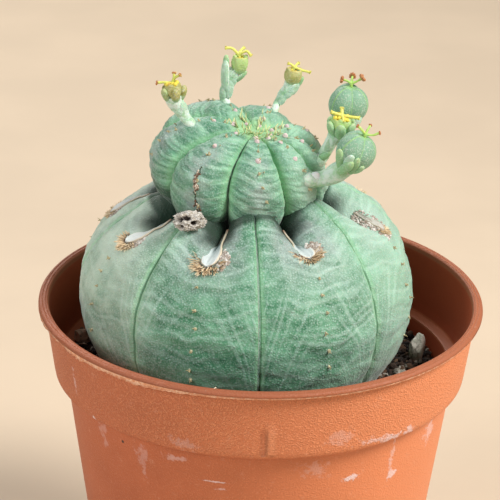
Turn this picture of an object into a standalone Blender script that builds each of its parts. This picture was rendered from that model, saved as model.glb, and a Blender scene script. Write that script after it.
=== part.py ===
"""Potted baseball plant: a ribbed, spineless succulent with one head on its crown, flower stalks and
seed capsules, in a round nursery pot. Metres, +Z up; the origin is the centre of the pot's base."""

import math
import random

import bmesh
import bpy
import numpy as np
from mathutils import Vector, noise
from mathutils.bvhtree import BVHTree

MM = 0.001
SEED = 7
GAP = 0.35 * MM
SEGMENTS = 40

# The pot
POT_HEIGHT = 80 * MM
LIP_RADIUS = 45 * MM
LIP_HEIGHT = 1.1 * MM
MOUTH_RADIUS = 43 * MM
BAND_TOP_RADIUS = 43.75 * MM
BAND_HEIGHT = 15.2 * MM
SHOULDER_STEP = 2.2 * MM
WALL_TAPER = 0.134
WALL = 1.0 * MM
FOOT_HEIGHT = 1.5 * MM
FOOT_WIDTH = 2.0 * MM
FLOOR_TOP = 2.8 * MM
LEDGE_TOP = 66.2 * MM
DRAIN_RADIUS = 3.5 * MM
DRAIN_RING_RADIUS = 21 * MM
DRAIN_COUNT = 6

# The soil and its stones
SOIL_LEVEL = 63.6 * MM
SOIL_EDGE = 60.0 * MM
SOIL_SLOPE = 0.045
SOIL_ROUGHNESS = 0.45 * MM
SOIL_CLEARANCE = 0.95 * MM
LOOSE_STONES = 9
STONE_SIZE = (2.0 * MM, 3.1 * MM)
STONE_STRETCH = ((0.85, 1.1), (0.75, 1.0), (0.55, 0.75))
# Stones that the photo shows: place across and along the pot, size, and stretch along each axis
SHOWN_STONES = (
    ((-35.8, 5.5), 1.8, (0.9, 0.9, 1.1)),
    ((33.0, 7.4), 2.7, (0.85, 0.8, 1.25)),
    ((35.9, 3.6), 1.4, (0.9, 0.9, 0.9)),
    ((29.4, -1.9), 1.9, (1.1, 0.8, 0.65)),
)

# The lower body, whose ribs meet in furrows and part in clefts round the head
BODY_X = -3.1 * MM
BODY_RADIUS = 33.85 * MM
BODY_LEVEL = 82.0 * MM
BODY_RISE = 25.4 * MM
BODY_DROP = 28.3 * MM
BODY_LEAN = 2.2 * MM
RIBS = 8
BODY_FURROW = math.radians(5.7)
BODY_FURROW_DEPTH = 0.6 * MM
BODY_FURROW_WIDTH = 0.07
BODY_SWELL = 0.5 * MM
CLEFT_DEPTH = 6.5 * MM
CLEFT_EDGE = 0.99
COLLAR_DEPTH = 4.5 * MM
COLLAR_RADIUS = 15.0 * MM
NECK_RADIUS = 8.5 * MM
ROOT_ANGLE = math.radians(150)
ROOT_LENGTH = 42 * MM

# The head, which leans towards +X and forwards
HEAD_CENTRE = Vector((-4.9, 0.2, 108.6)) * MM
HEAD_RADIUS = 17.3 * MM
HEAD_RISE = 11.8 * MM
HEAD_DROP = 14.0 * MM
HEAD_BACK_SHARE = 0.12
HEAD_SIDE_SHARE = 0.10
HEAD_LEAN_X = math.radians(13)
HEAD_LEAN_FRONT = math.radians(10)
HEAD_FURROWS = (-5, 34, 66, 96, 131, 184, 250, 309, 355)
HEAD_FURROW_DEPTH = 2.9 * MM
HEAD_KNOB_ANGLES = (24, 38, 55, 74, 92)
HEAD_KNOB_SIZE = (1.1 * MM, 1.4 * MM)
BODY_KNOB_ANGLES = (78, 91, 104)
BODY_KNOB_SIZE = (0.9 * MM, 1.2 * MM)
CROWN_DEPTH = 3.4 * MM
CROWN_WIDTH = 6.0 * MM

# Where the stalks stand on the head: round it and down from its crown, in degrees
LEFT_ROOT = (-74, 42)
REAR_ROOT = (-142, 29.6)
BACK_RIGHT_ROOT = (152, 35)
FRONT_FRUIT_ROOT = (56, 59)
BACK_FRUIT_ROOT = (92, 54)
CAPSULE_RADIUS = 4.05 * MM
BRACT_SINK = 0.35 * MM

# Old flower scars on the lower body: how far down each crest, in degrees, and the stump of a stalk
SCAR_ANGLES = (47, 45, 50, 50, 50, 49, 55, 51)
SCAR_REACH = (2.6 * MM, 3.4 * MM)
SCAR_TEETH = 9
SCAR_THICKNESS = 0.7 * MM
SCAR_LIFT = 0.55 * MM
STUMP_CENTRE = Vector((-14.4, -18.2, 103.7)) * MM
STUMP_RADII = Vector((2.7, 1.5, 1.9)) * MM


def finish(name, colour, roughness, metallic=0.0):
    """A plain Principled material, one for each kind of surface."""
    made = bpy.data.materials.get(name)
    if made:
        return made
    made = bpy.data.materials.new(name)
    made.use_nodes = True
    shader = made.node_tree.nodes["Principled BSDF"]
    shader.inputs["Base Color"].default_value = (*colour, 1.0)
    shader.inputs["Roughness"].default_value = roughness
    shader.inputs["Metallic"].default_value = metallic
    made.diffuse_color = (*colour, 1.0)
    return made


def clay_plastic():
    return finish("clay_plastic", (0.58, 0.17, 0.07), 0.55)


def dark_soil():
    return finish("dark_soil", (0.045, 0.030, 0.020), 0.95)


def stone_grey():
    return finish("stone_grey", (0.33, 0.27, 0.21), 0.85)


def plant_green():
    return finish("plant_green", (0.27, 0.46, 0.34), 0.60)


def stalk_green():
    return finish("stalk_green", (0.38, 0.58, 0.34), 0.55)


def bloom_yellow():
    return finish("bloom_yellow", (0.70, 0.62, 0.08), 0.50)


def dried_tan():
    return finish("dried_tan", (0.42, 0.25, 0.10), 0.90)


def smooth_step(value):
    value = np.clip(value, 0.0, 1.0)
    return value * value * (3.0 - 2.0 * value)


def new_object(name, bm, material, sharp_angle=40):
    """A mesh object with its normals out, smooth where its faces meet at a shallow angle."""
    bmesh.ops.recalc_face_normals(bm, faces=bm.faces)
    mesh = bpy.data.meshes.new(name)
    bm.to_mesh(mesh)
    bm.free()
    mesh.materials.append(material)
    mesh.shade_smooth()
    mesh.set_sharp_from_angle(angle=math.radians(sharp_angle))
    made = bpy.data.objects.new(name, mesh)
    bpy.context.scene.collection.objects.link(made)
    return made


def skin(name, rings, start, end, material):
    """One closed surface through rings of equal length, closed by a point at each end."""
    bm = bmesh.new()
    rows = [[bm.verts.new(point) for point in ring] for ring in rings]
    first, last = bm.verts.new(start), bm.verts.new(end)
    count = len(rows[0])
    for i in range(count):
        j = (i + 1) % count
        bm.faces.new((first, rows[0][j], rows[0][i]))
        bm.faces.new((last, rows[-1][i], rows[-1][j]))
        for below, above in zip(rows, rows[1:]):
            bm.faces.new((below[i], below[j], above[j], above[i]))
    return new_object(name, bm, material)


def turned(profile):
    """Rings round the Z axis from a profile of radius and height."""
    turns = [2 * math.pi * i / SEGMENTS for i in range(SEGMENTS)]
    return [[(r * math.sin(a), -r * math.cos(a), z) for a in turns] for r, z in profile]


def loft(name, path, radii, material, sides=8, flatten=1.0, hint=(0, 1, 0)):
    """A closed stem or blade: ellipses across a path, wide along the side and flattened across it."""
    path = [Vector(point) for point in path]
    rings = []
    for i in range(1, len(path) - 1):
        along = (path[i + 1] - path[i - 1]).normalized()
        side = along.cross(Vector(hint)).normalized()
        across = side.cross(along)
        turns = [2 * math.pi * k / sides for k in range(sides)]
        rings.append([
            path[i] + radii[i] * (math.cos(a) * side + flatten * math.sin(a) * across) for a in turns
        ])
    return skin(name, rings, path[0], path[-1], material)


def fuse(name, pieces):
    """One body from closed pieces that overlap: a Boolean union, applied, and the pieces removed."""
    first, rest = pieces[0], pieces[1:]
    group = bpy.data.collections.new(name + "_pieces")
    bpy.context.scene.collection.children.link(group)
    for piece in rest:
        bpy.context.scene.collection.objects.unlink(piece)
        group.objects.link(piece)
    union = first.modifiers.new("union", "BOOLEAN")
    union.operation = "UNION"
    union.operand_type = "COLLECTION"
    union.collection = group
    union.solver = "MANIFOLD"
    bpy.context.view_layer.update()
    graph = bpy.context.evaluated_depsgraph_get()
    mesh = bpy.data.meshes.new_from_object(first.evaluated_get(graph))
    material = first.data.materials[0]
    for piece in pieces:
        bpy.data.objects.remove(piece)
    bpy.data.collections.remove(group)
    mesh.materials.clear()
    mesh.materials.append(material)
    mesh.shade_smooth()
    mesh.set_sharp_from_angle(angle=math.radians(40))
    made = bpy.data.objects.new(name, mesh)
    bpy.context.scene.collection.objects.link(made)
    return made


def band_foot():
    """Radius and height of the band's lower outer edge."""
    return BAND_TOP_RADIUS - (BAND_HEIGHT - LIP_HEIGHT) * WALL_TAPER, POT_HEIGHT - BAND_HEIGHT


def outer_wall(z):
    """The pot's outer radius on the straight wall below the band."""
    radius, height = band_foot()
    return radius - SHOULDER_STEP + (z - height) * WALL_TAPER


def inner_profile():
    """The pot's inside from the floor's edge to the mouth, as radius and height."""
    mouth = POT_HEIGHT - 0.4 * MM
    ledge_foot = LEDGE_TOP - 0.4 * MM
    return [
        (outer_wall(FLOOR_TOP) - WALL - 0.8 * MM, FLOOR_TOP),
        (outer_wall(FLOOR_TOP) - WALL, FLOOR_TOP + 1.0 * MM),
        (outer_wall(ledge_foot) - WALL, ledge_foot),
        (outer_wall(ledge_foot) - WALL + 0.4 * MM, LEDGE_TOP),
        (MOUTH_RADIUS - (mouth - LEDGE_TOP) * WALL_TAPER, LEDGE_TOP + 0.1 * MM),
        (MOUTH_RADIUS, mouth),
    ]


def inner_wall(z):
    profile = inner_profile()
    return float(np.interp(z, [point[1] for point in profile], [point[0] for point in profile]))


def make_pot():
    """The moulded pot: foot ring, tapered wall, shoulder, band, lip, inner ledge and floor."""
    base = outer_wall(0.0)
    band_radius, shoulder = band_foot()
    lip_foot = POT_HEIGHT - LIP_HEIGHT
    outside = [
        (base - FOOT_WIDTH - 1.2 * MM, FOOT_HEIGHT),
        (base - FOOT_WIDTH - 0.5 * MM, 0.0),
        (base - 0.5 * MM, 0.0),
        (base + 0.1 * MM, 0.6 * MM),
        (outer_wall(shoulder - 0.5 * MM), shoulder - 0.5 * MM),
        (outer_wall(shoulder) + 0.4 * MM, shoulder - 0.1 * MM),
        (band_radius - 0.4 * MM, shoulder),
        (band_radius, shoulder + 0.4 * MM),
        (BAND_TOP_RADIUS, lip_foot),
        (LIP_RADIUS - 0.3 * MM, lip_foot),
        (LIP_RADIUS, lip_foot + 0.3 * MM),
        (LIP_RADIUS - 0.1 * MM, POT_HEIGHT - 0.3 * MM),
        (LIP_RADIUS - 0.6 * MM, POT_HEIGHT),
        (MOUTH_RADIUS + 0.4 * MM, POT_HEIGHT),
    ]
    inside = list(reversed(inner_profile()))
    pot = skin("pot", turned(outside + inside), (0, 0, FOOT_HEIGHT), (0, 0, FLOOR_TOP), clay_plastic())
    drain = pot.modifiers.new("drain_holes", "BOOLEAN")
    drain.operation = "DIFFERENCE"
    drain.object = make_drain_cutter()


def make_drain_cutter():
    """Upright rods that leave a ring of holes and a middle one in the floor."""
    bm = bmesh.new()
    places = [(0.0, 0.0)]
    for i in range(DRAIN_COUNT):
        turn = 2 * math.pi * i / DRAIN_COUNT
        places.append((DRAIN_RING_RADIUS * math.sin(turn), DRAIN_RING_RADIUS * math.cos(turn)))
    for x, y in places:
        rod = bmesh.ops.create_cone(
            bm, cap_ends=True, segments=14, radius1=DRAIN_RADIUS, radius2=DRAIN_RADIUS, depth=FLOOR_TOP * 2
        )
        bmesh.ops.translate(bm, verts=rod["verts"], vec=(x, y, FLOOR_TOP))
    cutter = new_object("drain_cutter", bm, clay_plastic())
    cutter.hide_render = True
    cutter.display_type = "WIRE"
    return cutter


def body_rows():
    """Angles down from the lower body's top, from the foot of its round part to its middle."""
    return np.radians([150, 138, 127, 116, 106, 96, 86, 76, 67, 60, 53, 47, 41, 35.5, 30.5, 26, 20, 12])


def body_profile():
    """The plain profile of root and lower body, as radius and height, from the root's tip upwards."""
    top_radius = BODY_RADIUS * math.sin(ROOT_ANGLE)
    top = BODY_LEVEL + BODY_DROP * math.cos(ROOT_ANGLE)
    root = [
        (top_radius * (1 - share) ** 1.5, top - ROOT_LENGTH * share) for share in (0.85, 0.5, 0.2)
    ]
    round_part = []
    for angle in body_rows():
        height = BODY_DROP if angle > math.pi / 2 else BODY_RISE
        round_part.append((BODY_RADIUS * math.sin(angle), BODY_LEVEL + height * math.cos(angle)))
    return root, round_part


def body_point(rib, angle):
    """A point of the lower body: rib counts furrows round it, angle runs down from its top."""
    turn = BODY_FURROW + rib * 2 * math.pi / RIBS
    ridge = 1 - np.abs(2 * (rib % 1.0) - 1)
    height = BODY_DROP if angle > math.pi / 2 else BODY_RISE
    radius = BODY_RADIUS * math.sin(angle)
    z = BODY_LEVEL + height * math.cos(angle)
    out = np.array([math.sin(angle) / BODY_RADIUS, math.cos(angle) / height])
    out = out / np.linalg.norm(out)
    upper = smooth_step((math.radians(54) - angle) / math.radians(28))
    cleft = CLEFT_DEPTH * upper * (1 - math.sqrt(1 - (CLEFT_EDGE * ridge) ** 2))
    deeper = 1 + smooth_step((math.radians(80) - angle) / math.radians(50))
    fade = smooth_step((math.radians(165) - angle) / math.radians(30))
    furrow = BODY_FURROW_DEPTH * deeper * fade * math.exp(-((ridge / BODY_FURROW_WIDTH) ** 1.2))
    swell = BODY_SWELL * (ridge * ridge - 0.4) * smooth_step((angle - math.radians(35)) / math.radians(30))
    shift = swell - cleft - furrow
    collar = COLLAR_DEPTH * smooth_step((COLLAR_RADIUS - radius) / (COLLAR_RADIUS - NECK_RADIUS))
    radius += shift * out[0]
    lean = BODY_LEAN * smooth_step((math.radians(80) - angle) / math.radians(50))
    x = BODY_X + lean * math.sin(turn) ** 2 + radius * math.sin(turn)
    return Vector((x, -radius * math.cos(turn), z + shift * out[1] - collar))


def head_axes():
    """The leaning head's own directions: to its right, to its front and up through its crown."""
    up = Vector((math.sin(HEAD_LEAN_X), -math.sin(HEAD_LEAN_FRONT), 1)).normalized()
    right = (Vector((1, 0, 0)) - up * up.x).normalized()
    return right, right.cross(up), up


def head_point(turn, angle):
    """A point of the head: turn in radians from its front to its right, angle down from its crown."""
    furrows = [math.radians(value) for value in HEAD_FURROWS]
    turn = furrows[0] + (turn - furrows[0]) % (2 * math.pi)
    ridge = 1 - abs(2 * (np.interp(turn, furrows, range(RIBS + 1)) % 1.0) - 1)
    reach = 1 - HEAD_BACK_SHARE * (1 - math.cos(turn)) / 2 + HEAD_SIDE_SHARE * math.sin(turn) ** 2
    reach *= HEAD_RADIUS
    height = HEAD_DROP if angle > math.pi / 2 else HEAD_RISE
    radius = reach * math.sin(angle)
    z = height * math.cos(angle)
    out = np.array([math.sin(angle) / reach, math.cos(angle) / height])
    out = out / np.linalg.norm(out)
    bulge = (1 - (1 - ridge) ** 2.2) ** 0.6
    shift = -HEAD_FURROW_DEPTH * smooth_step(angle / math.radians(40)) * (1 - bulge)
    z += shift * out[1] - CROWN_DEPTH * math.exp(-((radius / CROWN_WIDTH) ** 2))
    radius += shift * out[0]
    right, front, up = head_axes()
    return HEAD_CENTRE + right * radius * math.sin(turn) + front * radius * math.cos(turn) + up * z


def outward(point_of, first, second, step=0.01):
    """The surface's outward direction at two surface coordinates."""
    along = point_of(first + step, second) - point_of(first - step, second)
    down = point_of(first, second + step) - point_of(first, second - step)
    return down.cross(along).normalized()


def knob(point, out, size):
    """A small pointed knob that stands out of a crest, its foot sunk in."""
    base = point - out * 0.15 * size
    path = [base - out * 0.5 * size, base, point + out * 0.55 * size]
    return loft("knob", path, (0, 0.5 * size, 0), plant_green(), sides=5, hint=(0.3, 0.2, 0.9))


def rib_shares(shares):
    """Columns round all ribs, from their shares of one rib."""
    return [rib + share for rib in range(RIBS) for share in shares]


def make_lower_body():
    shares = (0, 0.045, 0.2, 0.35, 0.45, 0.5, 0.55, 0.65, 0.8, 0.955)
    columns = rib_shares(shares)
    root, _ = body_profile()
    rings = []
    for radius, z in root:
        turns = [BODY_FURROW + column * 2 * math.pi / RIBS for column in columns]
        rings.append([(BODY_X + radius * math.sin(a), -radius * math.cos(a), z) for a in turns])
    for angle in body_rows():
        rings.append([body_point(column, angle) for column in columns])
    tip = (BODY_X, 0, BODY_LEVEL + BODY_DROP * math.cos(ROOT_ANGLE) - ROOT_LENGTH)
    top = (BODY_X, 0, BODY_LEVEL + BODY_RISE - COLLAR_DEPTH)
    return skin("lower_body", rings, tip, top, plant_green())


def make_head():
    furrows = np.radians(HEAD_FURROWS)
    columns = rib_shares((0, 0.07, 0.2, 0.35, 0.5, 0.65, 0.8, 0.93))
    turns = np.interp(columns, range(RIBS + 1), furrows)
    angles = np.radians([155, 135, 118, 106, 96, 87, 78, 69, 60, 51, 43, 35, 28, 21, 14, 7])
    rings = [[head_point(turn, angle) for turn in turns] for angle in angles]
    return skin("head", rings, head_point(0, math.pi), head_point(0, 0), plant_green())


def make_knobs():
    """Rows of knobs down every crest of the head and, below the scars, of the lower body."""
    draw = random.Random(SEED)
    knobs = []
    furrows = [math.radians(value) for value in HEAD_FURROWS]
    for first, second in zip(furrows, furrows[1:]):
        for degrees in HEAD_KNOB_ANGLES:
            turn = (first + second) / 2
            angle = math.radians(degrees + draw.uniform(-3, 3))
            size = draw.uniform(*HEAD_KNOB_SIZE)
            knobs.append(knob(head_point(turn, angle), outward(head_point, turn, angle), size))
    for rib in range(RIBS):
        for degrees in BODY_KNOB_ANGLES:
            angle = math.radians(degrees + draw.uniform(-2, 2))
            size = draw.uniform(*BODY_KNOB_SIZE)
            column = rib + 0.5
            knobs.append(knob(body_point(column, angle), outward(body_point, column, angle), size))
    return knobs


def make_plant_body():
    """Root, lower body, head and knobs, which grew as one."""
    return fuse("plant_body", [make_lower_body(), make_head()] + make_knobs())


def soil_height(x, y):
    bumps = noise.noise(Vector((x, y, 0)) / (6 * MM)) + 0.5 * noise.noise(Vector((x, y, 9 * MM)) / (3 * MM))
    return SOIL_LEVEL - SOIL_SLOPE * x + SOIL_ROUGHNESS * bumps


def make_soil():
    """The soil that fills the pot, with a plain hole where the body and its root go in."""
    root, round_part = body_profile()
    profile = root + round_part[:6]
    radii = [radius for radius, _ in profile]
    levels = [level for _, level in profile]
    below = [(radius, level) for radius, level in profile if level < SOIL_EDGE]
    turns = [2 * math.pi * i / SEGMENTS for i in range(SEGMENTS)]
    bottom, side, upper, rim, deep = [], [], [], [], []
    surface = [[] for _ in range(4)]
    edge, throat = [], []
    for a in turns:
        ray = Vector((math.sin(a), -math.cos(a), 0))
        wall = ray * (inner_wall(SOIL_LEVEL) - GAP)
        top = soil_height(wall.x, wall.y)
        bottom.append(ray * (inner_wall(FLOOR_TOP) - GAP) + Vector((0, 0, FLOOR_TOP + GAP)))
        side.append(ray * (inner_wall(FLOOR_TOP + 1 * MM) - GAP) + Vector((0, 0, FLOOR_TOP + 1 * MM)))
        upper.append(ray * (inner_wall(SOIL_EDGE) - GAP) + Vector((0, 0, SOIL_EDGE)))
        rim.append(ray * (inner_wall(top) - GAP) + Vector((0, 0, top)))
        centre = Vector((BODY_X, 0, 0))
        level = soil_height(*(centre + ray * BODY_RADIUS * 0.76).xy)
        hole = np.interp(level, levels, radii) + SOIL_CLEARANCE
        edge.append(centre + ray * hole + Vector((0, 0, level)))
        middle = (level + below[-1][1]) / 2
        throat_radius = np.interp(middle, levels, radii) + SOIL_CLEARANCE
        throat.append(centre + ray * throat_radius + Vector((0, 0, middle)))
        for i, ring in enumerate(surface):
            share = (i + 1) / (len(surface) + 1)
            point = rim[-1].lerp(edge[-1], share)
            ring.append(Vector((point.x, point.y, soil_height(point.x, point.y))))
    for radius, level in reversed(below):
        deep.append([(BODY_X + (radius + SOIL_CLEARANCE) * math.sin(a),
                      -(radius + SOIL_CLEARANCE) * math.cos(a), level) for a in turns])
    tip = (BODY_X, 0, BODY_LEVEL + BODY_DROP * math.cos(ROOT_ANGLE) - ROOT_LENGTH - SOIL_CLEARANCE)
    rings = [bottom, side, upper, rim] + surface + [edge, throat] + deep
    return skin("soil", rings, (0, 0, FLOOR_TOP + GAP), tip, dark_soil())


def surface_tree(made):
    graph = bpy.context.evaluated_depsgraph_get()
    return BVHTree.FromObject(made, graph)


def stone(name, place, size, stretch, draw, tree):
    """One uneven stone, let down onto the soil until it just lies on it."""
    bm = bmesh.new()
    bmesh.ops.create_icosphere(bm, subdivisions=2, radius=size)
    offset = Vector((draw.uniform(0, 9), draw.uniform(0, 9), draw.uniform(0, 9)))
    for vert in bm.verts:
        swell = 0.92 + 0.2 * noise.noise(vert.co / size * 1.3 + offset)
        vert.co = Vector(a * b * swell for a, b in zip(vert.co, stretch))
        vert.co += place + Vector((0, 0, POT_HEIGHT))
    drop = min(tree.ray_cast(vert.co, Vector((0, 0, -1)))[3] for vert in bm.verts)
    bmesh.ops.translate(bm, verts=bm.verts, vec=(0, 0, GAP - drop))
    return new_object(name, bm, stone_grey(), sharp_angle=25)


def make_stones(soil):
    """Stones loose on the soil between the plant and the pot: those the photo shows, then others round it."""
    draw = random.Random(SEED + 1)
    tree = surface_tree(soil)
    for i, (place, size, stretch) in enumerate(SHOWN_STONES):
        stone(f"stone_{i + 1:02d}", Vector((*place, 0)) * MM, size * MM, stretch, draw, tree)
    first_turn, last_turn = math.radians(-70), math.radians(70)
    for i in range(LOOSE_STONES):
        share = (i + draw.uniform(-0.2, 0.2)) / (LOOSE_STONES - 1)
        turn = first_turn + (last_turn - first_turn) * share
        if i % 2:
            turn += math.pi
        ray = Vector((math.sin(turn), -math.cos(turn), 0))
        near = (Vector((BODY_X, 0, 0)) + ray * 0.87 * BODY_RADIUS).length
        far = inner_wall(SOIL_LEVEL)
        size = min(draw.uniform(*STONE_SIZE), (far - near) / 2 - 0.8 * MM)
        place = ray * draw.uniform(near + size + 0.5 * MM, far - size - 0.5 * MM)
        stretch = [draw.uniform(*limits) for limits in STONE_STRETCH]
        stone(f"stone_{i + 1 + len(SHOWN_STONES):02d}", place, size, stretch, draw, tree)


def dropped_on(tree, place, out):
    """Where a line through place, against out, first meets a surface."""
    return tree.ray_cast(place + out * POT_HEIGHT, -out)[0]


def make_scars(body):
    """A dried, fibrous scar near the top of each crest, where an old flower stalk broke off."""
    draw = random.Random(SEED + 2)
    tree = surface_tree(body)
    for rib, degrees in enumerate(SCAR_ANGLES):
        angle = math.radians(degrees)
        centre = body_point(rib + 0.5, angle)
        out = outward(body_point, rib + 0.5, angle)
        down = (body_point(rib + 0.5, angle + 0.05) - centre).normalized()
        side = out.cross(down)
        reach = draw.uniform(*SCAR_REACH)
        rings, tips = [], []
        for lift in (SCAR_LIFT, SCAR_LIFT + SCAR_THICKNESS):
            ring = []
            for k in range(SCAR_TEETH * 2):
                turn = math.pi * k / SCAR_TEETH
                length = reach * (1.0 if k % 2 == 0 else 0.62) * (1 + 0.35 * math.cos(turn))
                place = centre + (down * math.cos(turn) + side * math.sin(turn)) * length
                ring.append(dropped_on(tree, place, out) + out * lift)
            rings.append(ring)
            tips.append(dropped_on(tree, centre, out) + out * (1.2 * lift))
        low, high = tips
        skin(f"scar_{rib + 1}", rings, low, high, dried_tan())


def make_dried_stump(body):
    """The crusty remains of an old stalk, held between the head and a lobe of the lower body."""
    tree = surface_tree(body)
    bm = bmesh.new()
    bmesh.ops.create_icosphere(bm, subdivisions=2, radius=1.0)
    for vert in bm.verts:
        swell = 1 + 0.55 * noise.noise(vert.co * 1.7 + Vector((3, 1, 4)))
        vert.co = STUMP_CENTRE + vert.co * STUMP_RADII * swell
        near, normal = tree.find_nearest(vert.co)[:2]
        clear = (vert.co - near).dot(normal)
        if clear < GAP:
            vert.co = near + normal * GAP
    new_object("dried_stump", bm, dried_tan())


def mm(*values):
    return Vector(values) * MM


def root_on_head(place):
    """Where a stalk's foot is on the head, and the way it leaves."""
    turn, angle = (math.radians(value) for value in place)
    return head_point(turn, angle), outward(head_point, turn, angle)


def stem(place, points, radii):
    """A stalk from its seat on the head through points, closed by a flat foot and a flat end."""
    seat, out = root_on_head(place)
    foot = seat + out * GAP
    path = [foot, foot + out * 0.05 * MM, foot + out * 0.7 * MM] + points
    last = points[-1] + (points[-1] - points[-2]).normalized() * 0.2 * MM
    return loft("stem", path + [last], [0, radii[0]] + radii + [0], stalk_green(), hint=(0.2, 1, 0.1))


def bract(base, direction, width, length, out, thickness=0.7 * MM):
    """A small thick scale that lies along a stalk and bends out at its middle."""
    base, direction, out = Vector(base), Vector(direction).normalized(), Vector(out).normalized()
    path = [base - direction * 0.15 * length - out * BRACT_SINK]
    for share, bow in ((0.05, -0.03), (0.5, 0.16), (0.85, 0.08)):
        path.append(base + direction * length * share + out * length * bow)
    path.append(base + direction * length)
    radii = (0, 0.38 * width, 0.5 * width, 0.28 * width, 0)
    side = direction.cross(out)
    return loft("bract", path, radii, stalk_green(), sides=5, flatten=thickness / width, hint=out + side * 0.01)


def ring_of_bracts(centre, axis, count, radius, width, length, spread, phase=0.0):
    """Bracts set round an axis, leaning out by spread."""
    axis = Vector(axis).normalized()
    first = axis.cross(Vector((0.1, 1, 0.2))).normalized()
    second = axis.cross(first)
    made = []
    for i in range(count):
        turn = 2 * math.pi * i / count + phase
        out = first * math.cos(turn) + second * math.sin(turn)
        base = Vector(centre) + out * (radius - BRACT_SINK)
        made.append(bract(base, axis + out * spread, width, length, out))
    return made


def cup(centre, axis, radius, height):
    """The round cup of a flower, flat on top."""
    axis = Vector(axis).normalized()
    shares = ((-0.5, 0), (-0.45, 0.45), (-0.1, 0.92), (0.2, 1.0), (0.48, 0.8), (0.5, 0))
    path = [Vector(centre) + axis * height * level for level, _ in shares]
    radii = [radius * share for _, share in shares]
    return loft("cup", path, radii, stalk_green(), sides=10, hint=(0.2, 1, 0.1))


def styles(name, base, axis, tips, cushion=0.0):
    """A flower's yellow middle: a low cushion, a short column and arms that end in small knobs."""
    base, axis = Vector(base), Vector(axis).normalized()
    made = []
    if cushion:
        path = [base, base + axis * 0.05 * MM, base + axis * 0.5 * MM, base + axis * 0.9 * MM]
        made.append(loft("cushion", path, (0, cushion, cushion * 0.8, 0), bloom_yellow(), sides=8,
                         hint=(0.2, 1, 0.1)))
    fork = base + axis * 1.1 * MM
    path = [base + axis * 0.1 * MM, base + axis * 0.2 * MM, fork, fork + axis * 0.3 * MM]
    made.append(loft("column", path, (0, 0.6 * MM, 0.5 * MM, 0), bloom_yellow(), sides=6, hint=(0.2, 1, 0.1)))
    for tip in tips:
        tip = Vector(tip)
        arm = tip - fork
        bend = fork.lerp(tip, 0.6) + axis * 0.22 * arm.length
        path = [fork - arm * 0.1, fork, bend, tip, tip.lerp(bend, -0.12)]
        radii = [0, 0.42 * MM, 0.35 * MM, 0.46 * MM, 0]
        made.append(loft("arm", path, radii, bloom_yellow(), sides=5, hint=(0.1, 0.9, 0.3)))
    return fuse(name, made)


def capsule(centre, axis, radius):
    """A seed capsule: a ball of three lobes."""
    centre, axis = Vector(centre), Vector(axis).normalized()
    first = axis.cross(Vector((0, 1, 0))).normalized()
    second = axis.cross(first)
    rings = []
    for angle in np.radians([160, 135, 110, 85, 60, 38, 16]):
        ring = []
        for k in range(15):
            turn = 2 * math.pi * k / 15
            lobe = 1 - 0.09 * math.sin(angle) * (1 - abs(math.sin(1.5 * turn))) ** 2
            ring.append(centre + radius * lobe * (
                math.sin(angle) * (first * math.cos(turn) + second * math.sin(turn)) + axis * math.cos(angle)
            ))
        rings.append(ring)
    return skin("capsule", rings, centre - axis * radius, centre + axis * radius * 0.98, stalk_green())


def make_left_flower():
    axis = mm(-1.4, 0.3, 3.6)
    centre = mm(-18.2, -4.5, 124.1)
    pieces = [
        stem(LEFT_ROOT, [mm(-15.9, -4.9, 120.0), mm(-17.0, -4.7, 122.2), centre],
             [1.15 * MM, 1.15 * MM, 1.35 * MM, 1.5 * MM]),
        cup(centre, axis, 2.2 * MM, 3.4 * MM),
    ]
    pieces += ring_of_bracts(centre - axis.normalized() * 1.2 * MM, axis, 5, 1.7 * MM, 1.9 * MM, 2.9 * MM, 0.25)
    pieces += ring_of_bracts(mm(-16.0, -4.9, 120.2), axis, 3, 0.9 * MM, 1.7 * MM, 2.6 * MM, 0.15, 0.6)
    fuse("left_stalk", pieces)
    base = centre + axis.normalized() * (1.7 * MM + GAP)
    tips = (mm(-21.4, -4.6, 126.9), mm(-17.7, -3.6, 128.7), mm(-16.4, -5.2, 128.6))
    styles("left_bloom", base, axis, tips, 1.6 * MM)


def make_rear_flower():
    axis = mm(0.9, 0, 3.6)
    centre = mm(-5.3, 5.5, 127.4)
    pieces = [
        stem(REAR_ROOT, [mm(-7.9, 5.5, 122.0), mm(-7.1, 5.5, 124.6), centre],
             [0.95 * MM, 1.0 * MM, 1.1 * MM, 1.1 * MM]),
        cup(centre, axis, 1.75 * MM, 3.4 * MM),
        bract(mm(-7.4, 5.2, 125.2), (-0.12, -0.05, 1), 2.0 * MM, 4.4 * MM, (-0.6, -0.7, 0.1), 1.4 * MM),
    ]
    pieces += ring_of_bracts(centre - axis.normalized() * 1.3 * MM, axis, 5, 1.35 * MM, 1.6 * MM, 2.8 * MM, 0.2)
    pieces += ring_of_bracts(mm(-7.9, 5.5, 121.6), (0.1, 0, 1), 3, 0.7 * MM, 1.5 * MM, 3.4 * MM, 0.12, 0.9)
    fuse("rear_stalk", pieces)
    base = centre + axis.normalized() * (1.7 * MM + GAP)
    tips = (mm(-8.3, 5.3, 131.3), mm(-2.7, 5.3, 130.3), mm(-4.6, 7.4, 131.0))
    styles("rear_bloom", base, axis, tips, 1.2 * MM)


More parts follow.
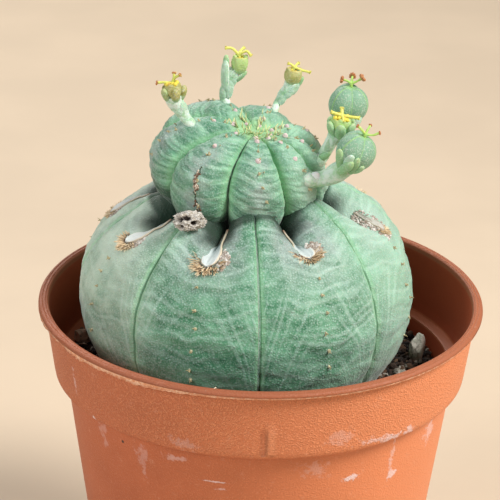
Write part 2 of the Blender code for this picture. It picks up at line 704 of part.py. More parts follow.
def make_back_right_flower():
    axis = mm(1.2, 0, 2.6)
    centre = mm(5.7, 8.0, 123.6)
    pieces = [
        stem(BACK_RIGHT_ROOT, [mm(3.3, 8.0, 120.0), mm(4.4, 8.0, 121.8), centre],
             [0.75 * MM, 1.0 * MM, 1.35 * MM, 1.4 * MM]),
        cup(centre, axis, 1.95 * MM, 3.6 * MM),
    ]
    pieces += ring_of_bracts(centre - axis.normalized() * 1.3 * MM, axis, 5, 1.5 * MM, 1.8 * MM, 3.0 * MM, 0.2)
    pieces += ring_of_bracts(mm(3.3, 8.0, 120.0), axis, 3, 0.7 * MM, 1.6 * MM, 2.8 * MM, 0.12, 0.4)
    fuse("back_right_stalk", pieces)
    base = centre + axis.normalized() * (1.8 * MM + GAP)
    styles("back_right_bloom", base, axis, (mm(4.2, 8.0, 127.4), mm(9.0, 7.7, 126.1), mm(6.6, 9.8, 127.2)),
           1.4 * MM)


def make_front_fruit():
    """The thick front stalk, its scales and the lower capsule."""
    axis = Vector((0.62, -0.1, 0.78)).normalized()
    centre = mm(18.0, -11.0, 116.6)
    collar = centre - axis * 4.0 * MM
    pieces = [
        stem(FRONT_FRUIT_ROOT, [mm(11.2, -9.8, 110.3), mm(13.4, -10.3, 111.8), collar, centre],
             [1.0 * MM, 1.15 * MM, 1.35 * MM, 1.4 * MM, 1.2 * MM]),
        capsule(centre, axis, CAPSULE_RADIUS),
    ]
    pieces += ring_of_bracts(collar - axis * 0.6 * MM, axis, 6, 1.5 * MM, 2.1 * MM, 3.2 * MM, 0.75)
    pieces += ring_of_bracts(mm(13.0, -10.2, 111.4), axis, 3, 1.0 * MM, 2.0 * MM, 3.0 * MM, 0.25, 0.5)
    fuse("front_fruit_stalk", pieces)
    base = centre + axis * (CAPSULE_RADIUS + GAP)
    tips = (mm(18.2, -11.6, 122.0), mm(23.1, -11.4, 120.4), mm(21.4, -8.6, 121.6))
    styles("front_fruit_style", base, axis, tips)


def make_back_fruit():
    """The forked stalk behind it: a flower in front and the upper capsule."""
    flower_axis = Vector((0.1, -0.1, 1)).normalized()
    flower = mm(14.9, -4.4, 118.4)
    centre = mm(16.3, 2.0, 120.9)
    fork = mm(13.2, -1.4, 115.0)
    pieces = [
        stem(BACK_FRUIT_ROOT, [mm(12.5, -0.9, 113.6), fork, mm(14.6, -3.7, 117.2)],
             [1.0 * MM, 1.2 * MM, 1.3 * MM, 1.2 * MM]),
        loft("branch", [mm(12.6, -1.4, 114.2), mm(13.2, -1.2, 114.9), mm(15.4, 1.0, 116.2), centre,
                        centre + mm(0, 0, 0.3)], [0, 1.1 * MM, 1.2 * MM, 1.1 * MM, 0], stalk_green(),
             hint=(0.9, 0.1, 0.1)),
        cup(flower, flower_axis, 2.2 * MM, 3.4 * MM),
        capsule(centre, (0.11, 0, 1), CAPSULE_RADIUS),
    ]
    collar = flower - flower_axis * 1.3 * MM
    pieces += ring_of_bracts(collar, flower_axis, 5, 1.7 * MM, 2.0 * MM, 3.0 * MM, 0.25)
    pieces += ring_of_bracts(mm(15.7, 1.3, 117.0), (0.11, 0.1, 1), 5, 0.9 * MM, 1.8 * MM, 2.6 * MM, 0.8, 0.3)
    fuse("back_fruit_stalk", pieces)
    styles("back_fruit_style", centre + mm(0.45, 0, 4.05) + mm(0, 0, 0.35), (0.11, 0, 1),
           (mm(14.2, 1.8, 127.4), mm(19.2, 1.8, 127.4), mm(17.0, 4.4, 127.2)))
    base = flower + flower_axis * (1.7 * MM + GAP)
    tips = (mm(12.6, -4.9, 121.8), mm(17.6, -5.2, 121.6), mm(15.4, -3.0, 122.6))
    styles("middle_bloom", base, flower_axis, tips, 1.5 * MM)


def make_crown_leaves():
    """The tuft of small scale leaves at the head's growing point."""
    draw = random.Random(SEED + 3)
    right, front, up = head_axes()
    seat = head_point(0, 0) + up * 0.5 * MM
    path = [seat, seat + up * 0.05 * MM, seat + up * 0.5 * MM, seat + up * 0.7 * MM]
    pieces = [loft("tuft", path, (0, 1.0 * MM, 0.9 * MM, 0), bloom_yellow(), hint=(1, 0, 0))]
    count = 6
    for i in range(count):
        turn = 2 * math.pi * i / count
        out = right * math.sin(turn) + front * math.cos(turn)
        lean = draw.uniform(0.7, 1.5)
        length = draw.uniform(1.6, 2.4) * MM
        foot = seat + up * 0.45 * MM + out * 0.5 * MM
        pieces.append(bract(foot, up + out * lean, 0.8 * MM, length, out, 0.6 * MM))
    fuse("crown_leaves", pieces)


def main():
    for old in list(bpy.data.objects):
        bpy.data.objects.remove(old)
    make_pot()
    soil = make_soil()
    make_stones(soil)
    body = make_plant_body()
    make_scars(body)
    make_dried_stump(body)
    make_crown_leaves()
    make_left_flower()
    make_rear_flower()
    make_back_right_flower()
    make_front_fruit()
    make_back_fruit()


main()
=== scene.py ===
"""Potted baseball plant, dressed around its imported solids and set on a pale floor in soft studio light."""

import math
import random

import bmesh
import bpy
import numpy as np
from mathutils import Matrix, Vector, noise
from mathutils.bvhtree import BVHTree


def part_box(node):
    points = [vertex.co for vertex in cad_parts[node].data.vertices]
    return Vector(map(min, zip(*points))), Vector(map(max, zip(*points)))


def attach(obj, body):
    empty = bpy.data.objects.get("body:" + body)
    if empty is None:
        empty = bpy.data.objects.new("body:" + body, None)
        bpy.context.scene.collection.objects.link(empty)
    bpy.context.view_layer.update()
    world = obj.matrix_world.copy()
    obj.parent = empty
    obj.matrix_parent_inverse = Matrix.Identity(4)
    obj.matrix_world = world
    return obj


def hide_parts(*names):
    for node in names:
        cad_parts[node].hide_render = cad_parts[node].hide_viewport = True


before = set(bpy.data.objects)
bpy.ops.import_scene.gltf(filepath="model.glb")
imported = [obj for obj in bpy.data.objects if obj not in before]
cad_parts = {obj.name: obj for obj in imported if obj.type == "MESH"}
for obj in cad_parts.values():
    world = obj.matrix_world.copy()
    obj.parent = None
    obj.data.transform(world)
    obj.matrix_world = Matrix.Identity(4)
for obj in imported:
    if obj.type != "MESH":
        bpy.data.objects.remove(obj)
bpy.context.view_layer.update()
MM = 0.001

# The camera and the studio
# The view is from somewhat above the rim, with a long lens close to the plant. The pot stands on a sweep of
# pale, warm card, under a broad soft light from the right and weaker ones from the left and from behind.
CAMERA_RISE = math.radians(24.25)
CAMERA_DISTANCE = 0.450
CAMERA_ROLL = math.radians(-1.36)
FOCAL_PIXELS = 4.918 * 450
PICTURE = 500
SENSOR_WIDTH = 36
RIM_CENTRE_PIXEL = (260.8, 295.1)
RIM_CENTRE = Vector((0, 0, 0.080))
LIGHTS_AIM = Vector((0, 0, 0.09))
LIGHTS = (
    # name, place, size, watts, colour
    ("key_light", (0.50, -0.22, 0.62), 0.30, 7.6, (1.0, 0.97, 0.93)),
    ("fill_light", (-0.62, -0.50, 0.50), 0.45, 4.0, (0.96, 0.98, 1.0)),
    ("back_light", (-0.25, 0.60, 0.55), 0.50, 3.0, (1.0, 0.98, 0.95)),
)
AIR_COLOUR = (1.0, 0.98, 0.95, 1.0)
AIR_STRENGTH = 0.24
CARD_HALF_WIDTH = 3.0
CARD_RISE_FROM = 1.2
CARD_RISE = 0.45
CARD_PALE = (0.62, 0.50, 0.37)


class Wire:
    """A socket of a node tree. Operators on it add Math nodes, and add() makes any other node."""

    def __init__(self, tree, socket=None):
        self.tree = tree
        self.socket = socket

    def add(self, kind, settings=None, inputs=None, out=0):
        node = self.tree.nodes.new(kind)
        for name, value in (settings or {}).items():
            setattr(node, name, value)
        for key, value in (inputs or {}).items():
            if isinstance(value, Wire):
                self.tree.links.new(value.socket, node.inputs[key])
            else:
                node.inputs[key].default_value = value
        return Wire(self.tree, node.outputs[out])

    def math(self, operation, *others, first=None):
        values = [self if first is None else first, *others]
        return self.add("ShaderNodeMath", {"operation": operation}, dict(enumerate(values)))

    def __add__(self, other):
        return self.math("ADD", other)

    __radd__ = __add__

    def __sub__(self, other):
        return self.math("SUBTRACT", other)

    def __rsub__(self, other):
        return self.math("SUBTRACT", self, first=other)

    def __mul__(self, other):
        return self.math("MULTIPLY", other)

    __rmul__ = __mul__

    def __truediv__(self, other):
        return self.math("DIVIDE", other)

    def __rtruediv__(self, other):
        return self.math("DIVIDE", self, first=other)

    def __pow__(self, other):
        return self.math("POWER", other)

    def __neg__(self):
        return self.math("MULTIPLY", -1.0)

    def __abs__(self):
        return self.math("ABSOLUTE")

    def smooth(self, low, high):
        """0 below low, 1 above high and a soft step between; low may be the greater."""
        return self.add(
            "ShaderNodeMapRange",
            {"interpolation_type": "SMOOTHSTEP"},
            {"Value": self, "From Min": low, "From Max": high},
        )

    def over(self, low, high):
        """The same step between two angles, given in degrees."""
        return self.smooth(math.radians(low), math.radians(high))

    def vector(self, operation, *others):
        return self.add("ShaderNodeVectorMath", {"operation": operation}, dict(enumerate([self, *others])))

    def scaled(self, amount):
        """This vector times a number."""
        return self.add("ShaderNodeVectorMath", {"operation": "SCALE"}, {0: self, "Scale": amount})

    def part(self, axis):
        return self.add("ShaderNodeSeparateXYZ", None, {0: self}, axis)

    def mix(self, dull, full):
        """Colour dull where this is 0 and full where it is 1."""
        return self.add("ShaderNodeMix", {"data_type": "RGBA"}, {0: self, 6: rgba(dull), 7: rgba(full)}, 2)


def rgba(colour):
    return colour if isinstance(colour, Wire) else (*colour, 1.0)


def join(x, y, z):
    """One vector from three values, at least one of them a wire."""
    tree = next(value.tree for value in (x, y, z) if isinstance(value, Wire))
    return Wire(tree).add("ShaderNodeCombineXYZ", None, {0: x, 1: y, 2: z})


def grain(place, scale, detail=2.0, rough=0.5, kind="ShaderNodeTexNoise", out=0, **settings):
    """A noise or cell pattern, with scale features to each unit of the place that it is given."""
    inputs = {"Vector": place, "Scale": scale, "Detail": detail, "Roughness": rough}
    if kind == "ShaderNodeTexVoronoi":
        inputs = {"Vector": place, "Scale": scale}
    return place.add(kind, settings, inputs, out)


def finish_of(name, look, **constants):
    """A Principled material. look gets the place in millimetres and gives the sockets that vary, with the
    relief's height in millimetres."""
    made = bpy.data.materials.new(name)
    made.use_nodes = True
    tree = made.node_tree
    shader = tree.nodes["Principled BSDF"]
    for key, value in constants.items():
        shader.inputs[key.replace("_", " ")].default_value = value
    place = Wire(tree).add("ShaderNodeTexCoord", out=3).scaled(1000.0)
    for key, wire in look(place).items():
        if key == "Height":
            key = "Normal"
            wire = wire.add("ShaderNodeBump", None, {"Strength": 1.0, "Distance": MM, "Height": wire})
        tree.links.new(wire.socket, shader.inputs[key])
    return made


def paint(tone, *layers):
    """Lays colours over a tone in turn. A layer is how much it covers, from 0 to 1, and its colour."""
    for cover, colour in layers:
        tone = cover.mix(tone, colour)
    return tone


def piece_from(bm, name, finish=None, smooth=True):
    """Turns a bmesh into an object at the origin, shaded smooth or flat."""
    mesh = bpy.data.meshes.new(name)
    bm.to_mesh(mesh)
    bm.free()
    if smooth:
        mesh.shade_smooth()
    if finish:
        mesh.materials.append(finish)
    made = bpy.data.objects.new(name, mesh)
    bpy.context.scene.collection.objects.link(made)
    return made


def card_look(place):
    mottle = grain(place, 0.02, 4.0)
    tone = mottle.smooth(0.3, 0.7).mix(CARD_PALE, [value * 1.06 for value in CARD_PALE])
    return {"Base Color": tone, "Roughness": mottle * 0.1 + 0.75}


def place_camera():
    back = Vector((0, -math.cos(CAMERA_RISE), math.sin(CAMERA_RISE)))
    right = Vector((1, 0, 0))
    base = Matrix((right, back.cross(right), back)).transposed() @ Matrix.Rotation(-CAMERA_ROLL, 3, "Z")
    across, down = (value - PICTURE / 2 for value in RIM_CENTRE_PIXEL)
    aim = base @ Matrix.Rotation(math.atan(down / FOCAL_PIXELS), 3, "X")
    aim = aim @ Matrix.Rotation(math.atan(across / FOCAL_PIXELS), 3, "Y")
    lens = bpy.data.cameras.new("camera")
    lens.sensor_width = SENSOR_WIDTH
    lens.lens = FOCAL_PIXELS / PICTURE * SENSOR_WIDTH
    lens.clip_start = 0.01
    camera = bpy.data.objects.new("camera", lens)
    camera.matrix_world = Matrix.Translation(RIM_CENTRE + back * CAMERA_DISTANCE) @ aim.to_4x4()
    bpy.context.scene.collection.objects.link(camera)
    bpy.context.scene.camera = camera


def soft_light(name, place, size, watts, colour):
    lamp = bpy.data.lights.new(name, "AREA")
    lamp.shape = "DISK"
    lamp.size = size
    lamp.energy = watts
    lamp.color = colour
    light = bpy.data.objects.new(name, lamp)
    light.location = place
    light.rotation_euler = (LIGHTS_AIM - Vector(place)).to_track_quat("-Z", "Y").to_euler()
    bpy.context.scene.collection.objects.link(light)


def lay_floor():
    """A sheet of card that lies flat under the pot and sweeps up far behind it."""
    bm = bmesh.new()
    bmesh.ops.create_grid(bm, x_segments=40, y_segments=40, size=CARD_HALF_WIDTH)
    for vert in bm.verts:
        vert.co.z = CARD_RISE * max(0.0, vert.co.y - CARD_RISE_FROM) ** 2
    floor = piece_from(bm, "card_sweep", finish_of("pale_card", card_look))


place_camera()
lay_floor()
for light in LIGHTS:
    soft_light(*light)
air = bpy.data.worlds.new("studio_air")
air.use_nodes = True
air_light = air.node_tree.nodes["Background"]
air_light.inputs["Color"].default_value = AIR_COLOUR
air_light.inputs["Strength"].default_value = AIR_STRENGTH
bpy.context.scene.world = air
bpy.context.scene.view_settings.view_transform = "Standard"

# The pot
# A round nursery pot, injection moulded in one shot of clay-coloured plastic: a foot ring, a tapered wall, a
# finely grained band under a lip with two fine rings, a ledge inside, and seven drain holes in its floor.
POT_TURNS = 384
POT_HEIGHT = 80.0
LIP_RADIUS = 45.0
MOUTH_RADIUS = 43.0
BAND_TOP = 78.9
BAND_TOP_RADIUS = 43.75
BAND_FOOT = 64.8
WALL_TAPER = 0.134
BAND_FOOT_RADIUS = BAND_TOP_RADIUS - (BAND_TOP - BAND_FOOT) * WALL_TAPER
SHOULDER_STEP = 2.2
WALL = 1.0
FLOOR_TOP = 2.8
LEDGE_TOP = 66.2
DRAIN_RADIUS = 3.5
DRAIN_RING_RADIUS = 21.0
DRAIN_ROD_LENGTH = 6.0
DRAIN_ROD_LEVEL = 2.2
# The profile is swept round a ring too small to see, in metres, and its ends on the axis are welded
SWEEP_RING = 1e-5
WELD = 4e-5
# The pot's cut face in steps outwards and upwards, each set from the radius and height that pot_profile gives
FOOT_STEPS = ((-3.2, 1.5), (-2.6, 0.15), (-2.4, 0), (-0.6, 0), (-0.2, 0.12), (0.08, 0.5))
SHOULDER_STEPS = ((0.05, -0.35), (0.45, -0.05))
BAND_STEPS = ((-0.55, -0.02), (-0.2, 0.08), (0, 0.35))
LIP_STEPS = (
    (-1.05, -1.1), (-0.35, -1.05), (-0.08, -0.9), (0, -0.65), (-0.04, -0.4), (-0.22, -0.16), (-0.5, -0.03),
    (-0.7, -0.02), (-0.85, -0.13), (-1.0, -0.02), (-1.25, 0.0), (-1.42, -0.03), (-1.55, -0.15),
    (-1.68, -0.05), (-1.85, -0.14), (-2.0, -0.4),
)
LEDGE_STEPS = ((0.5, 0), (0.1, -0.15), (0, -0.5))
# The mould's mark on the band is a ridge beside a dent; a black speck sits in the wall further left
MARK_TOP = 73.0
MARK_RIDGE_TURN = 3.6
MARK_DENT_TURN = 1.6
SPECK_TURN = -41.9
SPECK_LEVEL = 61.2
# How wide a degree of the wall, of the mark and of the speck counts, in mm
DEGREE_OF_WALL = math.pi / 180 * 41
DEGREE_OF_MARK = 0.72
DEGREE_OF_SPECK = 0.7
# Where the wall's outside begins, as its radius at the ground, and how much wider the band counts
OUTSIDE_FROM = 30.2
OUTSIDE_FULL = 30.6
BAND_WIDER = 2.35
CLAY = (0.540, 0.150, 0.060)
CLAY_DARK = (0.43, 0.115, 0.045)
CLAY_LIGHT = (0.72, 0.255, 0.115)
CLAY_PAINTED_LIGHT = (0.86, 0.31, 0.135)
CLAY_PAINTED_SHADE = (0.36, 0.088, 0.040)
CLAY_LIP = (0.30, 0.092, 0.042)
CLAY_INSIDE_PAINTED_SHADE = (0.330, 0.050, 0.015)
CLAY_DENT_PAINTED_SHADE = (0.25, 0.055, 0.025)
CLAY_RIDGE_PAINTED_HIGHLIGHT = (0.86, 0.38, 0.20)
POT_DUST = (0.78, 0.45, 0.32)
SCUFF_WHITE = (0.82, 0.67, 0.67)
SPECK_BLACK = (0.05, 0.02, 0.015)
# Scuffs and chalky stains outside: turn in degrees, height, half width and half height in mm, strength
SCUFFS = (
    (-49.2, 65.1, 0.35, 0.35, 1.0),
    (-50.7, 61.5, 1.1, 2.6, 0.22),
    (-34.8, 60.3, 1.1, 1.7, 0.22),
    (-34.4, 57.0, 0.4, 1.8, 0.20),
    (-12.1, 57.6, 1.9, 0.16, 0.75),
    (-10.0, 56.0, 0.9, 0.20, 0.45),
    (-23.6, 61.6, 1.7, 0.5, 0.35),
    (27.9, 57.2, 1.7, 0.55, 0.95),
    (31.4, 66.2, 2.6, 0.6, 0.60),
    (37.4, 65.6, 1.5, 0.7, 0.85),
    (44.3, 65.8, 1.5, 0.6, 0.75),
    (60.5, 60.3, 1.6, 2.2, 0.50),
    (42.6, 58.6, 0.45, 3.4, 0.40),
    (43.6, 54.8, 0.9, 0.8, 0.80),
    (-57.3, 71.0, 0.35, 1.9, 0.55),
    (22.0, 68.5, 2.2, 1.2, 0.22),
    (17.0, 60.5, 2.2, 1.4, 0.22),
    (-20.0, 66.5, 2.4, 1.0, 0.22),
)


def wall_radius(z):
    """The outside of the straight wall below the band."""
    return BAND_FOOT_RADIUS - SHOULDER_STEP + (z - BAND_FOOT) * WALL_TAPER


def inner_radius(z):
    """The inside of the pot between its ledge and its mouth."""
    return MOUTH_RADIUS - (POT_HEIGHT - 0.4 - z) * WALL_TAPER


def pot_profile():
    """The cut face of the pot, from the middle of its underside round to the middle of its floor."""

    def steps_from(radius, level, steps):
        return [(radius + across, level + up) for across, up in steps]

    points = [(0, 1.5), *steps_from(wall_radius(0), 0, FOOT_STEPS)]
    points += [(wall_radius(z), z) for z in np.linspace(4, BAND_FOOT - 0.8, 12)]
    points += steps_from(wall_radius(BAND_FOOT), BAND_FOOT, SHOULDER_STEPS)
    points += steps_from(BAND_FOOT_RADIUS, BAND_FOOT, BAND_STEPS)
    band = np.linspace(BAND_FOOT + 1.5, BAND_TOP - 0.6, 8)
    points += [(BAND_FOOT_RADIUS + (z - BAND_FOOT) * WALL_TAPER, z) for z in band]
    points += steps_from(LIP_RADIUS, POT_HEIGHT, LIP_STEPS)
    points += [(inner_radius(z), z) for z in np.linspace(78, LEDGE_TOP + 0.5, 6)]
    points += [(inner_radius(LEDGE_TOP) - 0.15, LEDGE_TOP + 0.1)]
    points += steps_from(wall_radius(LEDGE_TOP) - WALL, LEDGE_TOP, LEDGE_STEPS)
    points += [(wall_radius(z) - WALL, z) for z in (50, 30, 10, FLOOR_TOP + 1)]
    return points + [(wall_radius(FLOOR_TOP) - WALL - 0.8, FLOOR_TOP), (0, FLOOR_TOP)]


def new_tree(name, inputs):
    """A Geometry Nodes tree: its named inputs as wires, and what closes it with its material."""
    tree = bpy.data.node_groups.new(name, "GeometryNodeTree")
    tree.interface.new_socket("Geometry", in_out="OUTPUT", socket_type="NodeSocketGeometry")
    tree.interface.new_socket("Geometry", in_out="INPUT", socket_type="NodeSocketGeometry")
    for label, kind, value in inputs:
        socket = tree.interface.new_socket(label, in_out="INPUT", socket_type="NodeSocket" + kind)
        if value is not None:
            socket.default_value = value
    tree.interface.new_socket("Finish", in_out="INPUT", socket_type="NodeSocketMaterial")
    entry = tree.nodes.new("NodeGroupInput")
    wires = {socket.name: Wire(tree, socket) for socket in entry.outputs if socket.name}
    return tree, wires


def close_tree(result, wires):
    real = result.add("GeometryNodeRealizeInstances", None, {0: result})
    done = real.add("GeometryNodeSetMaterial", None, {"Geometry": real, "Material": wires["Finish"]})
    leave = result.tree.nodes.new("NodeGroupOutput")
    result.tree.links.new(done.socket, leave.inputs[0])


def grow(name, mesh, tree, finish, sharp, **values):
    """Runs a tree over a mesh and keeps what it makes as one plain mesh at the origin."""
    made = bpy.data.objects.new(name, mesh)
    bpy.context.scene.collection.objects.link(made)
    run = made.modifiers.new("grow", "NODES")
    run.node_group = tree
    values["Finish"] = finish
    for item in tree.interface.items_tree:
        key = item.name.replace(" ", "_")
        if item.in_out == "INPUT" and key in values:
            run[item.identifier] = values[key]
    bpy.context.view_layer.update()
    graph = bpy.context.evaluated_depsgraph_get()
    result = bpy.data.meshes.new_from_object(made.evaluated_get(graph))
    made.modifiers.remove(run)
    made.data = result
    result.name = name
    result.shade_smooth()
    if sharp:
        result.set_sharp_from_angle(angle=math.radians(sharp))
    return made


def line_mesh(points):
    """A bare line through points in millimetres, for a tree to sweep."""
    mesh = bpy.data.meshes.new("line")
    edges = [(i, i + 1) for i in range(len(points) - 1)]
    mesh.from_pydata([Vector(point) * MM for point in points], edges, [])
    return mesh


def lathe_tree():
    """Turns a profile, drawn with its radius along X and its height along Y, round the upright axis."""
    tree, wires = new_tree("lathe", [("Segments", "Int", 64)])
    profile = wires["Geometry"].add("GeometryNodeMeshToCurve", None, {0: wires["Geometry"]})
    ring = profile.add("GeometryNodeCurvePrimitiveCircle", {"mode": "RADIUS"},
                       {"Resolution": wires["Segments"], "Radius": SWEEP_RING})
    turned = ring.add("GeometryNodeCurveToMesh", None, {"Curve": ring, "Profile Curve": profile})
    closed = turned.add("GeometryNodeMergeByDistance", None, {0: turned, "Distance": WELD})
    close_tree(closed, wires)
    return tree


def clay_look(place):
    """Moulded plastic, dusty and scuffed outside; painted light at the right, painted shade at the left, dark
    red painted shade inside.
    """
    turn = place.part(0).math("ARCTAN2", -place.part(1)) * (180 / math.pi)
    z = place.part(2)
    radius = (place.part(0) ** 2 + place.part(1) ** 2) ** 0.5
    wider = z.smooth(BAND_FOOT + 0.5, BAND_FOOT + 1.0) * BAND_WIDER
    outside = (radius - z * WALL_TAPER - wider).smooth(OUTSIDE_FROM, OUTSIDE_FULL)
    band = z.smooth(BAND_FOOT + 0.1, BAND_FOOT + 0.6) * z.smooth(BAND_TOP - 0.2, BAND_TOP - 0.6) * outside
    lip = z.smooth(BAND_TOP - 0.1, BAND_TOP + 0.1)
    inside = 1 - outside
    cells = grain(place, 2.9, kind="ShaderNodeTexVoronoi", feature="SMOOTH_F1")
    fine = grain(place, 4.2, 3.0, 0.6)
    stipple = (0.55 - cells).smooth(0.0, 0.55) * 0.6 + fine * 0.55
    depth = band * 0.72 + outside * 0.50 + 0.02
    scuff = None
    wear = grain(place, 1.3, 5.0, 0.8)
    smear = (grain(place, 0.45, 4.0, 0.7) - 0.5) * 6.0
    smudge = (grain(place, 0.62, 4.0, 0.7) - 0.5) * 6.0
    for at, level, wide, high, strength in SCUFFS:
        across = (turn - at) * (DEGREE_OF_WALL / wide) + smear
        up = (z - level) / high + smudge
        patch = (across * across + up * up + wear * 3.4).smooth(3.8, 2.0) * strength
        scuff = patch if scuff is None else scuff.math("MAXIMUM", patch)
    scuff = scuff * outside
    cloud = grain(place, 0.045, 3.0, 0.6)
    dust = grain(place, 0.5, 5.0, 0.75).smooth(0.58, 0.78) * outside * 0.36
    # Painted light on the pot's right side, and painted shade on its left side.
    painted_light_right = turn.smooth(-30, 50) * turn.smooth(170, 95) * outside
    painted_shade_left = turn.smooth(-5, -50) * turn.smooth(-170, -110) * outside
    # The mould mark's ridge and dent are bumps, with a painted highlight on the ridge and painted shade in
    # the dent.
    mark = z.smooth(BAND_FOOT + 0.4, BAND_FOOT + 1.2) * z.smooth(MARK_TOP, MARK_TOP - 3.0)
    ridge = (abs(turn - MARK_RIDGE_TURN) * DEGREE_OF_MARK).smooth(1.3, 0.2) * mark
    dent = (abs(turn - MARK_DENT_TURN) * DEGREE_OF_MARK).smooth(0.9, 0.1) * mark
    speck = ((turn - SPECK_TURN) * DEGREE_OF_SPECK) ** 2 + (z - SPECK_LEVEL) ** 2
    ledge = z.smooth(LEDGE_TOP - 0.7, LEDGE_TOP - 0.3) * z.smooth(LEDGE_TOP + 0.55, LEDGE_TOP + 0.25)
    tone = paint(
        cloud.smooth(0.3, 0.7).mix(CLAY_DARK, CLAY),
        ((stipple * depth).smooth(0.10, 0.95), CLAY_LIGHT),
        (painted_light_right * 0.62, CLAY_PAINTED_LIGHT),
        (painted_shade_left * 0.35, CLAY_PAINTED_SHADE),
        (lip * 0.85, CLAY_LIP),
        (dust, POT_DUST),
        (scuff * 0.85, SCUFF_WHITE),
        (dent * 0.28, CLAY_DENT_PAINTED_SHADE),
        (ridge * 0.25, CLAY_RIDGE_PAINTED_HIGHLIGHT),
        (speck.smooth(0.16, 0.05), SPECK_BLACK),
        # Painted shade inside the pot, dark and red.
        (inside * 0.85 * (1 - lip) * (1 - ledge), CLAY_INSIDE_PAINTED_SHADE),
    )
    height = stipple * depth * 0.22 + ridge * 0.55 - dent * 0.55 + scuff * wear * 0.12
    return {"Base Color": tone, "Roughness": 0.56 - stipple * 0.1 + scuff * 0.15, "Height": height}


def drill_drains(pot):
    """Cuts the ring of drain holes and the middle one out of the floor."""
    bm = bmesh.new()
    turns = np.radians(range(0, 360, 60))
    ring = [(DRAIN_RING_RADIUS * math.sin(turn), DRAIN_RING_RADIUS * math.cos(turn)) for turn in turns]
    for x, y in [(0.0, 0.0), *ring]:
        rod = bmesh.ops.create_cone(bm, cap_ends=True, segments=32, radius1=DRAIN_RADIUS * MM,
                                    radius2=DRAIN_RADIUS * MM, depth=DRAIN_ROD_LENGTH * MM)
        bmesh.ops.translate(bm, verts=rod["verts"], vec=(x * MM, y * MM, DRAIN_ROD_LEVEL * MM))
    rods = piece_from(bm, "drain_rods", smooth=False)
    cut = pot.modifiers.new("drains", "BOOLEAN")
    cut.operation = "DIFFERENCE"
    cut.object = rods
    bpy.context.view_layer.update()
    graph = bpy.context.evaluated_depsgraph_get()
    holed = bpy.data.meshes.new_from_object(pot.evaluated_get(graph))
    pot.modifiers.remove(cut)
    pot.data = holed
    holed.set_sharp_from_angle(angle=math.radians(40))
    bpy.data.objects.remove(rods)


def face_outwards(made):
    """Turns every face of a closed mesh to look outwards."""
    bm = bmesh.new()
    bm.from_mesh(made.data)
    bmesh.ops.recalc_face_normals(bm, faces=bm.faces)
    bm.to_mesh(made.data)
    bm.free()


clay = finish_of("clay_plastic", clay_look, Specular_IOR_Level=0.35)
profile = line_mesh([(radius, -z, 0) for radius, z in pot_profile()])
pot = grow("nursery_pot", profile, lathe_tree(), clay, 35, Segments=POT_TURNS)
face_outwards(pot)
drill_drains(pot)
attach(pot, "root")
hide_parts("pot")

# The burr on the lip
# Where the two halves of the mould met, a thin, pale, ragged skin of plastic hangs from the lip's outer
# edge; it was never trimmed, and has flaked off in places.
BURR_STEPS = 2400
BURR_RADIUS = 45.03
BURR_LEVEL = 79.28
BURR_PALE = (0.86, 0.56, 0.38)
BURR_CLAY = (0.72, 0.30, 0.15)
BURR_WHITE = (0.90, 0.74, 0.58)


def burr_look(place):
    fine = grain(place, 1.4, 4.0, 0.7)
    tone = fine.smooth(0.40, 0.62).mix(BURR_CLAY, BURR_PALE)
    tone = (fine.smooth(0.60, 0.72) * 0.6).mix(tone, BURR_WHITE)
    return {"Base Color": tone, "Roughness": fine * 0.1 + 0.5, "Height": fine * 0.15}


def burr_tree():
    """Draws the edge of a ring down into a ragged fringe, by noise that runs round it."""
    tree, wires = new_tree("ragged_edge", [
        ("Steps", "Int", 100), ("Radius", "Float", 0.01), ("Level", "Float", 0.0), ("Reach", "Float", 0.001),
        ("Thickness", "Float", 0.0002)])
    ring = wires["Geometry"].add("GeometryNodeMeshCircle", None, {
        "Vertices": wires["Steps"], "Radius": wires["Radius"]})
    place = Wire(tree).add("GeometryNodeInputPosition")
    coarse = grain(place, 95.0, 4.0, 0.7)
    fine = grain(place, 900.0, 2.0, 0.6)
    worn = grain(place, 22.0, 1.0)
    left = place.part(0).smooth(0.020, -0.040) * 0.5 + 0.5
    drop = wires["Reach"] * left * (coarse.smooth(0.35, 0.75) * worn.smooth(0.38, 0.62) + 0.30)
    drop = drop * (fine * 1.4 + 0.3)
    out = place.vector("NORMALIZE")
    lift = out.scaled(drop * 0.22 * (fine - 0.3))
    raised = ring.add("GeometryNodeSetPosition", None, {
        "Geometry": ring, "Offset": join(0.0, 0.0, wires["Level"])})
    skirt = raised.add("GeometryNodeExtrudeMesh", {"mode": "EDGES"}, {
        "Mesh": raised, "Offset": lift.vector("ADD", join(0.0, 0.0, -drop)), "Offset Scale": 1.0})
    solid = skirt.add("GeometryNodeExtrudeMesh", {"mode": "FACES"}, {
        "Mesh": skirt, "Offset": out, "Offset Scale": -1 * wires["Thickness"], "Individual": False})
    close_tree(solid, wires)
    return tree


burr = grow("lip_burr", line_mesh([(0, 0, 0), (0, 0, 1)]), burr_tree(), finish_of("pale_burr", burr_look), 50,
            Steps=BURR_STEPS, Radius=BURR_RADIUS * MM, Level=BURR_LEVEL * MM, Reach=0.0008, Thickness=0.00022)
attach(burr, "root")

